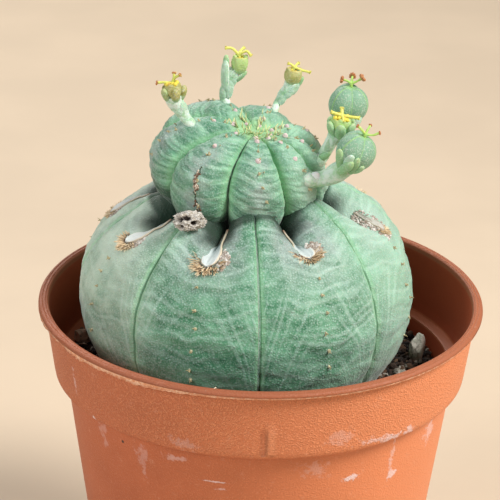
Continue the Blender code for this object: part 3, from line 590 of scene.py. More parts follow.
# The lower ball
# The swollen, spineless stem of the plant, one living piece from root to crown: eight ribs that meet in fine
# furrows and part near the top into clefts, under a thin, waxy, blue-green skin crossed by pale growth lines.
BALL_X = -3.1
BALL_RADIUS = 33.85
BALL_RISE = 25.4
BALL_DROP = 28.3
BALL_LEVEL = 82.0
BALL_LEAN = 2.2
BALL_FURROW_TURN = math.radians(5.7)
ROOT_LENGTH = 42.0
ROOT_STEPS = (0.05, 0.15, 0.3, 0.5, 0.7, 0.85, 0.95)
RIBS = 8
BALL_COLUMNS = 50
SKIN_GREEN = (0.078, 0.240, 0.130)
SKIN_DEEP = (0.030, 0.150, 0.070)
SKIN_PALE = (0.190, 0.415, 0.270)
SKIN_GREY = (0.280, 0.325, 0.315)
SKIN_WAX = (0.540, 0.720, 0.640)
FURROW_LIGHT = (0.300, 0.620, 0.330)
FURROW_LINE = (0.025, 0.125, 0.045)
SKIN_STREAK = (0.520, 0.560, 0.560)
SKIN_PALER_LEFT = (0.500, 0.610, 0.500)
SKIN_PAINTED_LIGHT = (0.450, 0.690, 0.540)
SKIN_MIDDLE_PAINTED_SHADE = (0.040, 0.185, 0.090)
SKIN_IN_POT_PAINTED_SHADE = (0.055, 0.120, 0.070)
CLEFT_PAINTED_SHADE = (0.006, 0.020, 0.011)
CONTACT_PAINTED_SHADOW = (0.010, 0.034, 0.018)


def label_points(mesh, label, values):
    """Gives each point of a mesh its own value under a label."""
    made = mesh.attributes.new(label, "FLOAT", "POINT")
    made.data.foreach_set("value", np.asarray(values, np.float32))


def rib_grid(name, columns, downs, turn_of, roots=(), ribs=RIBS, plump_of=lambda rib: rib * 0.0):
    """A closed ball of points, each with the rib, the way down and the turn that the tree shapes it by."""
    rows = [(down, 0.0) for down in downs] + [(downs[-1], share) for share in roots]
    count = columns * ribs
    rib = np.concatenate([[0.0], np.tile(np.arange(count) / columns, len(rows)), [0.0]])
    last_down, last_root = (downs[-1], 1.0) if roots else (math.pi, 0.0)
    down = np.concatenate([[0.0], np.repeat([row[0] for row in rows], count), [last_down]])
    root = np.concatenate([[0.0], np.repeat([row[1] for row in rows], count), [last_root]])
    last = len(rib) - 1
    faces = []
    for i in range(count):
        j = (i + 1) % count
        faces.append((0, 1 + i, 1 + j))
        for row in range(len(rows) - 1):
            top, low = 1 + row * count, 1 + (row + 1) * count
            faces.append((top + i, low + i, low + j, top + j))
        faces.append((last, last - count + j, last - count + i))
    mesh = bpy.data.meshes.new(name)
    mesh.from_pydata(np.zeros((len(rib), 3)).tolist(), [], faces)
    given = {"rib": rib, "down": down, "root": root, "turn": turn_of(rib, down), "plump": plump_of(rib)}
    for label, values in given.items():
        label_points(mesh, label, values)
    return mesh


def named(tree, label, kind="FLOAT"):
    """A point attribute of the mesh that a tree works on."""
    return Wire(tree).add("GeometryNodeInputNamedAttribute", {"data_type": kind}, {"Name": label})


def swell_tree():
    """Swells a ball of points into ribs, with furrows between them, clefts near its top and a sunk crown."""
    given = {
        "Radius": 0.03, "Rise": 0.025, "Drop": 0.028, "Furrow Depth": 0.001, "Furrow Edge": 12.0,
        "Furrow Curve": 1.0, "Furrow Upper": 1.0, "Collar Radius": 0.015, "Neck Radius": 0.0085,
        "Crown Width": 0.006}
    plain = (
        "Back Share", "Side Share", "Cleft Depth", "Swell", "Collar Depth", "Crown Depth", "Crown Right",
        "Crown Front", "Plump", "Root Length", "Lean", "Waver", "Ripple", "Seed")
    sizes = [(label, "Float", value) for label, value in (*given.items(), *((label, 0.0) for label in plain))]
    vectors = [(label, "Vector", None) for label in ("Centre", "Right", "Front", "Up")]
    tree, wires = new_tree("swell_ribs", sizes + vectors)
    size = {label: wires[label] for label, _, _ in sizes}
    rib, down, root, turn, plump = (named(tree, label) for label in ("rib", "down", "root", "turn", "plump"))
    ridge = 1 - abs(rib.math("FRACT") * 2 - 1)
    low = down.math("GREATER_THAN", math.pi / 2)
    height = size["Rise"] + (size["Drop"] - size["Rise"]) * low
    sideways = turn.math("SINE")
    reach = 1 - size["Back Share"] * (1 - turn.math("COSINE")) * 0.5
    reach = size["Radius"] * (reach + size["Side Share"] * sideways * sideways)
    sine, cosine = down.math("SINE"), down.math("COSINE")
    radius = reach * sine * (1 - root) ** 1.5
    level = height * cosine - root * size["Root Length"]
    out_across, out_up = sine / reach, cosine / height
    length = (out_across * out_across + out_up * out_up) ** 0.5
    out_across, out_up = out_across / length, out_up / length
    upper = down.over(57, 31)
    cleft = size["Cleft Depth"] * upper * (1 - (1 - (ridge * 0.95) ** 2) ** 0.5)
    groove = 1 - (1 - (1 - ridge) ** size["Furrow Edge"]) ** size["Furrow Curve"]
    furrow = size["Furrow Depth"] * (1 + size["Furrow Upper"] * down.over(80, 30))
    furrow = furrow * groove * down.over(165, 135) * down.over(0, 36)
    swell = size["Swell"] * (ridge * ridge - 0.4) * down.over(35, 65)
    spot = join(rib.math("FLOOR") * 7.3 + size["Seed"], ridge * 1.6, down * 5.0)
    waver = grain(spot, 1.4) - 0.5
    folds = join(rib.math("FLOOR") * 3.1 + size["Seed"], ridge * 0.55, down * 26.0 + ridge * 1.2)
    ripple = grain(folds, 1.0, 1.0) - 0.5
    still = down.over(0, 20) * (1 - root)
    swell = swell + size["Plump"] * plump * (1 - (1 - ridge) ** 3) * down.over(40, 85)
    shift = swell - cleft - furrow + (waver * size["Waver"] + ripple * size["Ripple"] * ridge) * still
    collar = size["Collar Depth"] * radius.smooth(size["Collar Radius"], size["Neck Radius"])
    dip = size["Crown Depth"] * (-((radius / size["Crown Width"]) ** 2)).math("EXPONENT")
    radius = radius + shift * out_across
    level = level + shift * out_up - collar - dip
    lean = size["Lean"] * down.over(80, 30) * sideways * sideways
    pole = down.over(80, 5)
    across = radius * sideways + lean + size["Crown Right"] * pole
    ahead = radius * turn.math("COSINE") + size["Crown Front"] * pole
    place = wires["Centre"]
    for direction, amount in (("Right", across), ("Front", ahead), ("Up", level)):
        place = place.vector("ADD", wires[direction].scaled(amount))
    shaped = place.add("GeometryNodeSetPosition", None, {"Geometry": wires["Geometry"], "Position": place})
    close_tree(shaped, wires)
    return tree


def read(place, label):
    return place.add("ShaderNodeAttribute", {"attribute_name": label}, out=2)


def skin_parts(place, seed):
    """What both skins are drawn from: the way across a rib, the way down it, and which rib it is."""
    rib, down = read(place, "rib"), read(place, "down")
    which = rib.math("FLOOR") * 3.7 + seed
    across = rib.math("FRACT") - 0.5
    return which, across, abs(across) * 2, down


def growth_lines(which, run, across, thin, pace):
    """Soft pale lines left by growth. They follow where run stays the same and come and go across the rib."""
    drift = grain(join(which, run * 0.12, across), 1.0, 2.0, 0.5)
    wave = (run * pace + drift * 9.0).math("SINE") * 0.5 + 0.5
    fade = grain(join(which + 3.3, run * 0.35, across), 1.0, 1.0, 0.5)
    return wave.smooth(thin, 1.0) * fade.smooth(0.38, 0.62)


def stipple(place, scale):
    """Fine dots of wax, scale a millimetre, some stronger than others."""
    cell = grain(place, scale, kind="ShaderNodeTexVoronoi", out=1).part(0)
    return grain(place, scale, kind="ShaderNodeTexVoronoi").smooth(0.62, 0.22) * (cell * 0.8 + 0.2)


def skin_look(place):
    """The old skin: grey and streaked round its top, paler at the left, with frost-like dots of wax; painted
    light at the right, painted shade in the middle, in the clefts, under the head and inside the pot.
    """
    which, across, side, down = skin_parts(place, 0.0)
    warp = (grain(place, 0.10, 3.0, 0.5) - 0.5) * 0.24
    top = down.over(74, 40)
    falling = down - side * side * 0.92 - side * 0.16 + warp
    broad = grain(join(which, (down + warp) * 6.5, across * 2.0), 1.0, 2.0, 0.5)
    mottle = grain(place, 0.13, 3.0, 0.55)
    below = down.over(56, 74)
    fans = growth_lines(which, falling * 19.0, across * 1.8, 0.22, 2.0) * below * side.smooth(0.10, 0.35)
    level = growth_lines(which + 4.2, (down + warp + side * 0.10) * 40.0, across * 1.6, 0.20, 2.0)
    frost = stipple(place, 2.1)
    dust = stipple(place, 3.4)
    blots = grain(join(which, down * 7.0, across * 5.0), 1.0, 2.0, 0.5).smooth(0.50, 0.64)
    grey = top * side.smooth(1.0, 0.42) * mottle.smooth(0.15, 0.45)
    streaks = grain(join(which + 8.8, down * 3.0, across * 22.0), 1.0, 3.0, 0.6).smooth(0.48, 0.66)
    sideways = read(place, "turn").math("SINE")
    # The left side of the ball is painted paler and greyer.
    paler_left = sideways.smooth(-0.42, -0.90) * down.over(112, 84)
    # Painted shade on the front and back of the ball's upper half.
    middle = abs(sideways).smooth(0.50, 0.12) * down.over(50, 72)
    nearing = down + sideways * math.radians(7.5)
    # Painted shade, nearly black, in the clefts close to the head.
    cleft = nearing.over(44, 35) * side.smooth(0.70, 0.20)
    # A painted shadow where the ball meets the head.
    contact_shadow = nearing.over(34.0, 31.5)
    tone = paint(
        broad.smooth(0.43, 0.55).mix(SKIN_DEEP, SKIN_GREEN),
        (mottle.smooth(0.42, 0.64) * 0.70, SKIN_PALE),
        (grey * 0.78, SKIN_GREY),
        (streaks * top * side.smooth(0.75, 0.25) * 0.34, SKIN_STREAK),
        (blots * side.smooth(0.05, 0.4) * 0.75, SKIN_DEEP),
        (fans * 0.31, SKIN_WAX),
        (level * (0.26 + top * 0.12), SKIN_WAX),
        (frost * 0.36, SKIN_WAX),
        (dust * 0.32, SKIN_WAX),
        (paler_left * (mottle.smooth(0.35, 0.60) * 0.50 + 0.36), SKIN_PALER_LEFT),
        # Painted light on the right side of the ball.
        (sideways.smooth(0.50, 0.95) * 0.45, SKIN_PAINTED_LIGHT),
        (middle * 0.28, SKIN_MIDDLE_PAINTED_SHADE),
        (side.smooth(0.90, 0.965) * 0.32, FURROW_LIGHT),
        (side.smooth(0.972, 0.990) * 0.70, FURROW_LINE),
        (cleft * 0.96, CLEFT_PAINTED_SHADE),
        (contact_shadow * 0.88, CONTACT_PAINTED_SHADOW),
        # Painted shade on the ball below the rim, inside the pot.
        (down.over(99, 120) * 0.60, SKIN_IN_POT_PAINTED_SHADE),
    )
    height = fans * 0.03 + level * 0.02 + frost * 0.07 + dust * 0.03 + mottle * 0.2 + broad * 0.25
    return {"Base Color": tone, "Roughness": 0.62 - frost * 0.08, "Height": height}


def along(surface, rib, down):
    """A point of a ribbed surface in metres, with its way out and its way down the rib."""
    points, columns, downs = surface
    row = np.interp(down, downs, range(len(downs)))
    low, high = int(row), min(int(row) + 1, len(downs) - 1)
    column = rib * columns
    left, share = int(math.floor(column)), column - math.floor(column)
    total = points.shape[1]

    def at(level, step):
        first, second = points[level, (left + step) % total], points[level, (left + step + 1) % total]
        return first * (1 - share) + second * share

    def blend(step):
        return at(low, step) * (1 - row + low) + at(high, step) * (row - low)

    slope = Vector(at(min(low + 2, len(downs) - 1), 0) - at(max(low - 1, 0), 0)).normalized()
    sidewise = Vector(blend(1) - blend(-1)).normalized()
    return Vector(blend(0)), slope.cross(sidewise).normalized(), slope


def grid_points(made, columns, downs):
    """The shaped ball's points by row and column, for what is set on it."""
    flat = np.empty(len(made.data.vertices) * 3, np.float32)
    made.data.vertices.foreach_get("co", flat)
    rows = flat.reshape(-1, 3)[1:1 + columns * RIBS * len(downs)]
    return rows.reshape(len(downs), columns * RIBS, 3).astype(float), columns, downs


ball_skin = finish_of("ball_skin", skin_look, Sheen_Weight=0.22, Sheen_Roughness=0.45,
                      Subsurface_Weight=0.06, Subsurface_Scale=0.002, Specular_IOR_Level=0.30)
ball_downs = np.radians(np.concatenate([
    np.linspace(2, 26, 24), np.linspace(26.8, 60, 50), np.linspace(60.9, 150, 100)]))
ball_points = rib_grid("ball_points", BALL_COLUMNS, ball_downs,
                       lambda rib, _: BALL_FURROW_TURN + rib * math.tau / RIBS, ROOT_STEPS)
swell_ribs = swell_tree()
ball = grow(
    "lower_ball", ball_points, swell_ribs, ball_skin, 0, Radius=BALL_RADIUS * MM, Rise=BALL_RISE * MM,
    Drop=BALL_DROP * MM, Furrow_Depth=0.0005, Furrow_Edge=26.0, Cleft_Depth=0.0094, Swell=0.0005,
    Collar_Depth=0.0045, Root_Length=ROOT_LENGTH * MM, Lean=BALL_LEAN * MM, Waver=0.0012, Ripple=0.0003,
    Seed=1.7, Centre=(BALL_X * MM, 0.0, BALL_LEVEL * MM), Right=(1.0, 0.0, 0.0), Front=(0.0, -1.0, 0.0),
    Up=(0.0, 0.0, 1.0))
ball_surface = grid_points(ball, BALL_COLUMNS, ball_downs)
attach(ball, "root")
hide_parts("plant_body")

# The head
# A younger ball that grew out of the crown of the lower one and leans over it: eight plump ribs of uneven
# width round a sunk growing point, deeply furrowed, with green growth lines across them.
HEAD_CENTRE = (-4.9, 0.2, 108.6)
HEAD_RADIUS = 17.3
HEAD_LEAN_RIGHT = math.radians(13)
HEAD_LEAN_FRONT = math.radians(10)
# The turn of each furrow in degrees, how far it twists on its way down, and which rib is plumper
HEAD_FURROWS = (-10, 34.5, 66, 86, 128, 196, 262, 305.5, 350)
HEAD_TWIST = (0.13, 0.18, 0.08, 0.0, 0.0, 0.0, 0.0, 0.04, 0.13)
HEAD_PLUMP = (0.0, 0.0, 0.0, 0.0, 0.0, 0.0, 0.0, 1.0)
HEAD_COLUMNS = 52
HEAD_ROWS = 170
HEAD_GREEN = (0.098, 0.272, 0.168)
HEAD_LINE = (0.042, 0.168, 0.088)
HEAD_PALE = (0.225, 0.455, 0.300)
CROWN_GREEN = (0.330, 0.560, 0.230)
HEAD_PAINTED_LIGHT = (0.430, 0.680, 0.500)
HEAD_UNDERSIDE_PAINTED_SHADE = (0.014, 0.050, 0.026)


def head_look(place):
    """The young skin: banded light and dark across each rib, greyer on the crests, bright at the crown, with
    painted light at the right and painted shade on its underside.
    """
    which, across, side, down = skin_parts(place, 31.0)
    warp = (grain(place, 0.16, 2.0, 0.5) - 0.5) * 0.20
    bowed = down + side * side * 0.12 + warp
    bands = grain(join(which, bowed * 7.5, across * 0.9), 1.0, 1.0, 0.4)
    creases = grain(join(which + 5.5, bowed * 7.0, across * 0.7), 1.0, 1.0, 0.4)
    dark = (creases - 0.5).math("ABSOLUTE").smooth(0.13, 0.0) * side.smooth(0.0, 0.30)
    fine = growth_lines(which + 2.2, bowed * 30.0, across * 1.6, 0.30, 2.6)
    mottle = grain(place, 0.22, 3.0, 0.6)
    frost = stipple(place, 2.2)
    dust = stipple(place, 3.5)
    grey = side.smooth(0.75, 0.10) * mottle.smooth(0.28, 0.55) * down.over(25, 55)
    # Painted light on the right side of the head.
    painted_light_right = read(place, "turn").math("SINE").smooth(0.30, 0.90)
    tone = paint(
        bands.smooth(0.39, 0.54).mix(HEAD_GREEN, HEAD_PALE),
        (mottle.smooth(0.46, 0.66) * 0.30, SKIN_DEEP),
        (grey * 0.72, SKIN_GREY),
        (dark * 0.78, HEAD_LINE),
        (fine * 0.12, SKIN_WAX),
        (frost * 0.25, SKIN_WAX),
        (dust * 0.20, SKIN_WAX),
        (painted_light_right * 0.38, HEAD_PAINTED_LIGHT),
        (down.over(22, 8) * 0.6, CROWN_GREEN),
        (side.smooth(0.70, 0.93) * 0.45, FURROW_LIGHT),
        (side.smooth(0.965, 0.995) * 0.55, FURROW_LINE),
        # Painted shade on the head's underside.
        (down.over(101, 114) * 0.80, HEAD_UNDERSIDE_PAINTED_SHADE),
    )
    height = bands * 0.08 + fine * 0.02 + frost * 0.06 + dust * 0.03
    return {"Base Color": tone, "Roughness": 0.60 - frost * 0.08, "Height": height}


head_up = Vector((math.sin(HEAD_LEAN_RIGHT), -math.sin(HEAD_LEAN_FRONT), 1)).normalized()
head_right = (Vector((1, 0, 0)) - head_up * head_up.x).normalized()
head_front = head_right.cross(head_up)
head_skin = finish_of("head_skin", head_look, Sheen_Weight=0.25, Sheen_Roughness=0.45,
                      Subsurface_Weight=0.06, Subsurface_Scale=0.002, Specular_IOR_Level=0.30)


def head_turn(rib, down):
    """The turn of a place on the head, whose furrows are uneven and twisted."""
    furrow = np.interp(rib, range(RIBS + 1), np.radians(HEAD_FURROWS))
    return furrow + np.interp(rib, range(RIBS + 1), HEAD_TWIST) * (down - math.radians(70))


head_downs = np.radians(np.linspace(1.5, 172, HEAD_ROWS))
head_points = rib_grid("head_points", HEAD_COLUMNS, head_downs, head_turn,
                       plump_of=lambda rib: np.interp(rib.astype(int), range(RIBS), HEAD_PLUMP))
head = grow(
    "head", head_points, swell_ribs, head_skin, 0, Radius=HEAD_RADIUS * MM, Rise=0.0118, Drop=0.0140,
    Back_Share=0.12, Side_Share=0.10, Furrow_Depth=0.0031, Furrow_Edge=2.6, Furrow_Curve=0.55,
    Furrow_Upper=0.0, Crown_Depth=0.0034, Crown_Right=0.0013, Crown_Front=0.0016, Plump=0.0011, Waver=0.0012,
    Ripple=0.0004, Seed=5.2, Centre=tuple(value * MM for value in HEAD_CENTRE), Right=tuple(head_right),
    Front=tuple(head_front), Up=tuple(head_up))
head_surface = grid_points(head, HEAD_COLUMNS, head_downs)
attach(head, "root")
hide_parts("plant_body")

# The knobs on the crests
# Every crest carries a row of small warts, each left by a young leaf: pale pink-white where the leaf has just
# dropped, brown and chipped where it went long ago. They are part of the skin and grew with it.
HEAD_KNOBS = {
    0: (13, 18, 22.7, 33, 43, 55, 67, 80),
    1: (12, 18, 23.7, 31, 42, 54, 72, 90),
    2: (10, 15, 20, 26, 32, 44, 60, 78),
    3: (10, 16, 22, 35, 39, 52, 70, 88),
    4: (8, 12, 15.6, 25, 34, 45, 62, 80),
    5: (8.6, 14, 21, 40, 47, 55, 72, 90),
    6: (15.6, 21.5, 28, 38, 55, 61, 73, 88),
    7: (20, 31, 43, 52, 75, 95),
}
PLAIN_KNOBS = (60, 68, 77, 85, 93, 101)
# How far a row wanders off its crest for each radian below a level, by rib
HEAD_KNOB_DRIFT = {0: 0.12, 7: 0.20}
KNOB_DRIFT_LEVEL = 0.87
BALL_KNOBS = {
    0: (59.3, 66.3, 72.6, 81.6, 89.7, 96.9),
    6: (63, 69, 75.3, 84.3, 95),
    7: (60.9, 71.7, 78.9, 88, 96.9, 101.4),
}
KNOB_PINK = (0.62, 0.50, 0.50)
KNOB_TAN = (0.50, 0.47, 0.31)
KNOB_BARK = (0.15, 0.105, 0.060)
KNOB_CREAM = (0.78, 0.68, 0.62)


def knob_look(place):
    tint = read(place, "tint")
    chips = grain(place, 3.0, 3.0, 0.7)
    tone = paint(
        tint.smooth(0.45, 0.55).mix(KNOB_PINK, KNOB_TAN),
        (chips.smooth(0.48, 0.62) * tint.smooth(0.3, 0.8) * 0.7, KNOB_BARK),
        (tint.smooth(0.10, 0.0) * 0.55, KNOB_CREAM),
        (read(place, "tip").smooth(0.35, 0.0) * 0.9, HEAD_GREEN),
    )
    return {"Base Color": tone, "Roughness": chips * 0.2 + 0.6, "Height": chips * 0.15}


def set_tree():
    """Sets copies of a small form on points, each turned to its own way out and scaled to its own size."""
    tree, wires = new_tree("set_on_points", [("Form", "Object", None)])
    form = wires["Form"].add("GeometryNodeObjectInfo", {"transform_space": "ORIGINAL"}, {
        "Object": wires["Form"]}, 4)
    out = named(tree, "out", "FLOAT_VECTOR")
    align = out.add("FunctionNodeAlignRotationToVector", {"axis": "Z"}, {"Vector": out})
    turned = align.add("FunctionNodeAlignRotationToVector", {"axis": "X", "pivot_axis": "Z"},
                       {"Rotation": align, "Vector": named(tree, "toward", "FLOAT_VECTOR")})
    points = wires["Geometry"].add("GeometryNodeMeshToPoints", None, {"Mesh": wires["Geometry"]})
    copies = points.add("GeometryNodeInstanceOnPoints", None, {
        "Points": points, "Instance": form, "Rotation": turned, "Scale": named(tree, "size", "FLOAT_VECTOR")})
    close_tree(copies, wires)
    return tree


def seeds_mesh(seeds):
    """Points with a way out, a way along, a size and a tint. A seed is (place, out, toward, size, tint)."""
    mesh = bpy.data.meshes.new("seeds")
    mesh.from_pydata([seed[0] for seed in seeds], [], [])
    for label, column in (("out", 1), ("toward", 2), ("size", 3)):
        made = mesh.attributes.new(label, "FLOAT_VECTOR", "POINT")
        made.data.foreach_set("vector", np.array([seed[column] for seed in seeds], np.float32).ravel())
    label_points(mesh, "tint", [seed[4] for seed in seeds])
    return mesh


def close_rows(bm, rows):
    """Closes rings of points, one above the other, into a body with a lid at each end."""
    for low, high in zip(rows, rows[1:]):
        for k in range(len(low)):
            after = (k + 1) % len(low)
            bm.faces.new((low[k], low[after], high[after], high[k]))
    bm.faces.new(rows[0][::-1])
    bm.faces.new(rows[-1])


def form_of(name, rings, sides, bend=None):
    """A small upright form from rings of radius and height. Its tip attribute runs from 0 to 1 upwards."""
    bm = bmesh.new()
    tip = bm.verts.layers.float.new("tip")
    edge = bm.verts.layers.float.new("edge")
    top = rings[-1][1]
    rows = []
    for radius, z in rings:
        row = []
        for k in range(sides):
            turn = math.tau * k / sides
            spot = Vector((radius * math.cos(turn), radius * math.sin(turn), z))
            vert = bm.verts.new(bend(spot) if bend else spot)
            vert[tip] = max(z, 0) / top
            vert[edge] = abs(math.sin(turn))
            row.append(vert)
        rows.append(row)
    close_rows(bm, rows)
    return piece_from(bm, name)


def planted(name, seeds, form, finish):
    """One piece of many copies of a form, which is then cleared away."""
    made = grow(name, seeds_mesh(seeds), set_on_points, finish, 50, Form=form)
    bpy.data.objects.remove(form)
    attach(made, "root")
    return made


def knob_seeds(surface, rows, spread, sizes, old_from, draw):
    """Warts down every crest, young pink ones by turns with old brown ones, which keep a few dry needles."""
    warts, bristles = [], []
    for rib in range(RIBS):
        for i, degrees in enumerate(rows.get(rib, PLAIN_KNOBS)):
            drift = 0.0
            if surface is head_surface:
                drift = HEAD_KNOB_DRIFT.get(rib, 0.0) * (math.radians(degrees) - KNOB_DRIFT_LEVEL)
            at = rib + 0.5 + drift + draw.uniform(-spread, spread)
            place, out, slope = along(surface, at, math.radians(degrees + draw.uniform(-0.8, 0.8)))
            old = i % 2 == 1 or degrees > old_from
            size = draw.uniform(*sizes) * (0.62 if old else 1.0) * MM
            shape = (size, size * draw.uniform(0.8, 1.15), size * draw.uniform(0.8, 1.2))
            tint = draw.uniform(0.6, 1.0) if old else draw.uniform(0.0, 0.35)
            warts.append((place - out * 0.12 * size, out, slope, shape, tint))
            side = out.cross(slope)
            for _ in range(5 if old else 1):
                lie = out * draw.uniform(0.3, 1.0) + slope * draw.uniform(-0.5, 0.9)
                lie = (lie + side * draw.uniform(-0.9, 0.9)).normalized()
                shape = (0.08 * MM, 0.07 * MM, draw.uniform(0.35, 0.75) * MM)
                bristles.append((place + out * 0.3 * size, lie, slope, shape, draw.uniform(0.86, 1.0)))
    return warts, bristles


knob_skin = finish_of("knob_skin", knob_look, Specular_IOR_Level=0.3)
set_on_points = set_tree()
draw = random.Random(11)
wart_rings = ((0.62, -0.25), (0.60, 0.0), (0.52, 0.22), (0.40, 0.42), (0.30, 0.55), (0.12, 0.64))
bristles = []
for name, surface, rows, spread, sizes, old_from in (
        ("head_knobs", head_surface, HEAD_KNOBS, 0.03, (0.78, 1.08), 46),
        ("ball_knobs", ball_surface, BALL_KNOBS, 0.02, (0.85, 1.1), 0)):
    warts, more = knob_seeds(surface, rows, spread, sizes, old_from, draw)
    bristles += more
    knobs = planted(name, warts, form_of("wart", wart_rings, 12), knob_skin)
    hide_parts("plant_body")

# The old flower scars
# Near the top of each rib an old flower stalk broke away and left a scar: a waxy, tongue-shaped hollow that
# runs down out of the cleft, a fringe of dry golden fibres round its lower end, and a grey crust beside it.
SCARS = (
    # rib, the tongue's top and end in degrees down, sideways shift at its top, half width, fringe reach, wax
    (0.52, 33, 49.5, -0.10, 1.85, 3.3, 0.9),
    (1.58, 38, 52, 0.05, 0.70, 1.8, 0.1),
    (2.50, 34, 47, 0.08, 1.35, 2.6, 0.7),
    (3.50, 35, 50, 0.00, 1.30, 2.5, 0.6),
    (4.50, 35, 49, -0.05, 1.35, 2.7, 0.7),
    (5.66, 41, 58, 0.03, 1.75, 2.0, 0.7),
    (6.52, 38, 55, 0.20, 1.85, 3.4, 0.7),
    (7.52, 31, 53, 0.02, 2.10, 3.8, 1.0),
)
TONGUE_STEPS = 26
TONGUE_STRIPS = 12
FIBRE_GOLD = (0.72, 0.56, 0.35)
FIBRE_BROWN = (0.11, 0.050, 0.022)
CRUST_GREY = (0.52, 0.47, 0.42)
TONGUE_PAINTED_SHADE = (0.26, 0.36, 0.36)
TONGUE_WHITE = (0.64, 0.71, 0.71)
TONGUE_GREY = (0.40, 0.44, 0.42)
TONGUE_RIM = (0.62, 0.50, 0.34)
TONGUE_ROOT = (0.20, 0.09, 0.05)
TONGUE_DRY = (0.42, 0.36, 0.28)
FIBRE_STRAW = (0.88, 0.78, 0.60)
CRUST_BROWN = (0.24, 0.17, 0.12)
CRUST_WHITE = (0.80, 0.78, 0.74)
FIBRES_PER_SCAR = 150
CRUMBS_PER_SCAR = 110


def tongue_look(place):
    tip, edge = read(place, "tip"), read(place, "edge")
    streak = grain(join(tip * 3.0, edge * 7.0, read(place, "tint") * 9.0), 1.0, 3.0, 0.6)
    tone = paint(
        # Painted shade: the tongue is a darker blue-grey towards its top, deep in the cleft.
        tip.smooth(0.20, 0.85).mix(TONGUE_PAINTED_SHADE, TONGUE_WHITE),
        (streak.smooth(0.5, 0.7) * 0.35, TONGUE_GREY),
        (edge.smooth(0.72, 0.95) * 0.8, TONGUE_RIM),
        (tip.smooth(0.15, 0.0) * 0.8, TONGUE_ROOT),
        (read(place, "tint").smooth(0.9, 0.4) * 0.6, TONGUE_DRY),
    )
    return {"Base Color": tone, "Roughness": streak * 0.2 + 0.38, "Height": streak * 0.12}


def fibre_look(place):
    tint, tip = read(place, "tint"), read(place, "tip")
    tone = paint(
        tip.smooth(0.10, 0.60).mix(FIBRE_BROWN, FIBRE_GOLD),
        (tint.smooth(0.45, 1.0) * tip.smooth(0.3, 0.9) * 0.8, FIBRE_STRAW),
        (tint.smooth(0.25, 0.0) * 0.7, FIBRE_BROWN),
    )
    return {"Base Color": tone, "Roughness": tip * 0.1 + 0.75}


def crumb_look(place):
    tint = read(place, "tint")
    rough = grain(place, 4.0, 3.0, 0.7)
    tone = rough.smooth(0.35, 0.65).mix(CRUST_BROWN, CRUST_GREY)
    tone = (tint.smooth(0.5, 1.0) * 0.8).mix(tone, CRUST_WHITE)
    return {"Base Color": tone, "Roughness": rough * 0.1 + 0.85, "Height": rough * 0.2}


def lay_tongue(bm, layers, rib, top, end, shift, width, wax):
    """A hollow, waxy strip down the middle of a cleft, widest at its rounded end."""
    rows = []
    for i in range(TONGUE_STEPS + 1):
        share = i / TONGUE_STEPS
        at = rib + shift * (1 - share) ** 1.5
        down = math.radians(top + (end - top) * share)
        place, out, slope = along(ball_surface, at, down)
        side = out.cross(slope).normalized()
        bulb = min(1.0, max(0.0, (share - 0.30) / 0.45))
        breadth = math.tau * BALL_RADIUS * math.sin(down) / RIBS * MM
        half = width * (0.50 + 0.60 * bulb * bulb * (3 - 2 * bulb)) * math.sqrt(max(0.0, 1 - share ** 7)) * MM
        row = []
        for k in range(TONGUE_STRIPS + 1):
            t = 2 * k / TONGUE_STRIPS - 1
            lift = (0.25 + 0.25 * t * t - 0.35 * max(0.0, abs(t) - 0.9) * 10) * MM
            wave = 0.10 * noise.noise(Vector((share * 5, t * 2, rib * 9))) * MM
            spot, away, _ = along(ball_surface, at + t * half / breadth, down)
            spot = spot.lerp(place + side * half * t, 0.35)
            vert = bm.verts.new(spot + (away + out).normalized() * (lift + wave))
            vert[layers[0]], vert[layers[1]], vert[layers[2]] = share, abs(t), wax
            row.append(vert)
        rows.append(row)
    for low, high in zip(rows, rows[1:]):
        for k in range(TONGUE_STRIPS):
            bm.faces.new((low[k], high[k], high[k + 1], low[k + 1]))


def scar_frame(rib, end):
    """The place at a scar's end, with its way out, its way down and its way across."""
    place, out, slope = along(ball_surface, rib, math.radians(end))
    return place, out, slope, out.cross(slope).normalized()


def onto_ball(place, out):
    """The point of the lower ball's skin under a place beside it."""
    hit = ball_tree.ray_cast(place + out * 6 * MM, -out)
    return hit[0] if hit[0] else place


def scar_seeds(draw):
    """Stubby fibres in rows round each tongue's lower end, and crumbs of crust beside and between them."""
    fibres, crumbs = [], []
    for rib, top, end, shift, width, reach, wax in SCARS:
        place, out, slope, side = scar_frame(rib, end)
        middle = place - slope * width * 0.8 * MM
        for i in range(FIBRES_PER_SCAR):
            turn = math.radians(draw.triangular(-115, 100, -5))
            away = slope * math.cos(turn) + side * math.sin(turn)
            share = draw.random()
            root = onto_ball(middle + away * (width * 0.72 + reach * 0.40 * share) * MM, out)
            length = draw.uniform(1.0, 2.0) * (0.6 + 0.4 * reach / 3) * (1 - 0.3 * abs(turn) / 2)
            lie = away + out * draw.uniform(0.1, 0.9) + side * draw.uniform(-0.3, 0.3)
            thick = draw.uniform(0.15, 0.26)
            shape = (thick * MM, thick * 0.8 * MM, length * MM)
            root = root - lie.normalized() * 0.15 * MM
            fibres.append((root, lie.normalized(), out, shape, draw.random()))
        healed = wax < 0.2
        for i in range(CRUMBS_PER_SCAR * (4 if healed else 1)):
            turn = math.radians(draw.triangular(45, 175, 105))
            away = slope * math.cos(turn) + side * math.sin(turn)
            spot = middle + away * (width * 0.95 + reach * 0.5 * draw.random()) * MM
            if healed:
                spot = place + (slope * draw.uniform(-6.5, 2.0) + side * draw.gauss(0, 0.85)) * MM
            size = draw.uniform(0.16, 0.42) * MM
            shape = (size, size * draw.uniform(0.6, 1.2), size * 0.7)
            crumbs.append((onto_ball(spot, out), out, side, shape, draw.random()))
    return fibres, crumbs


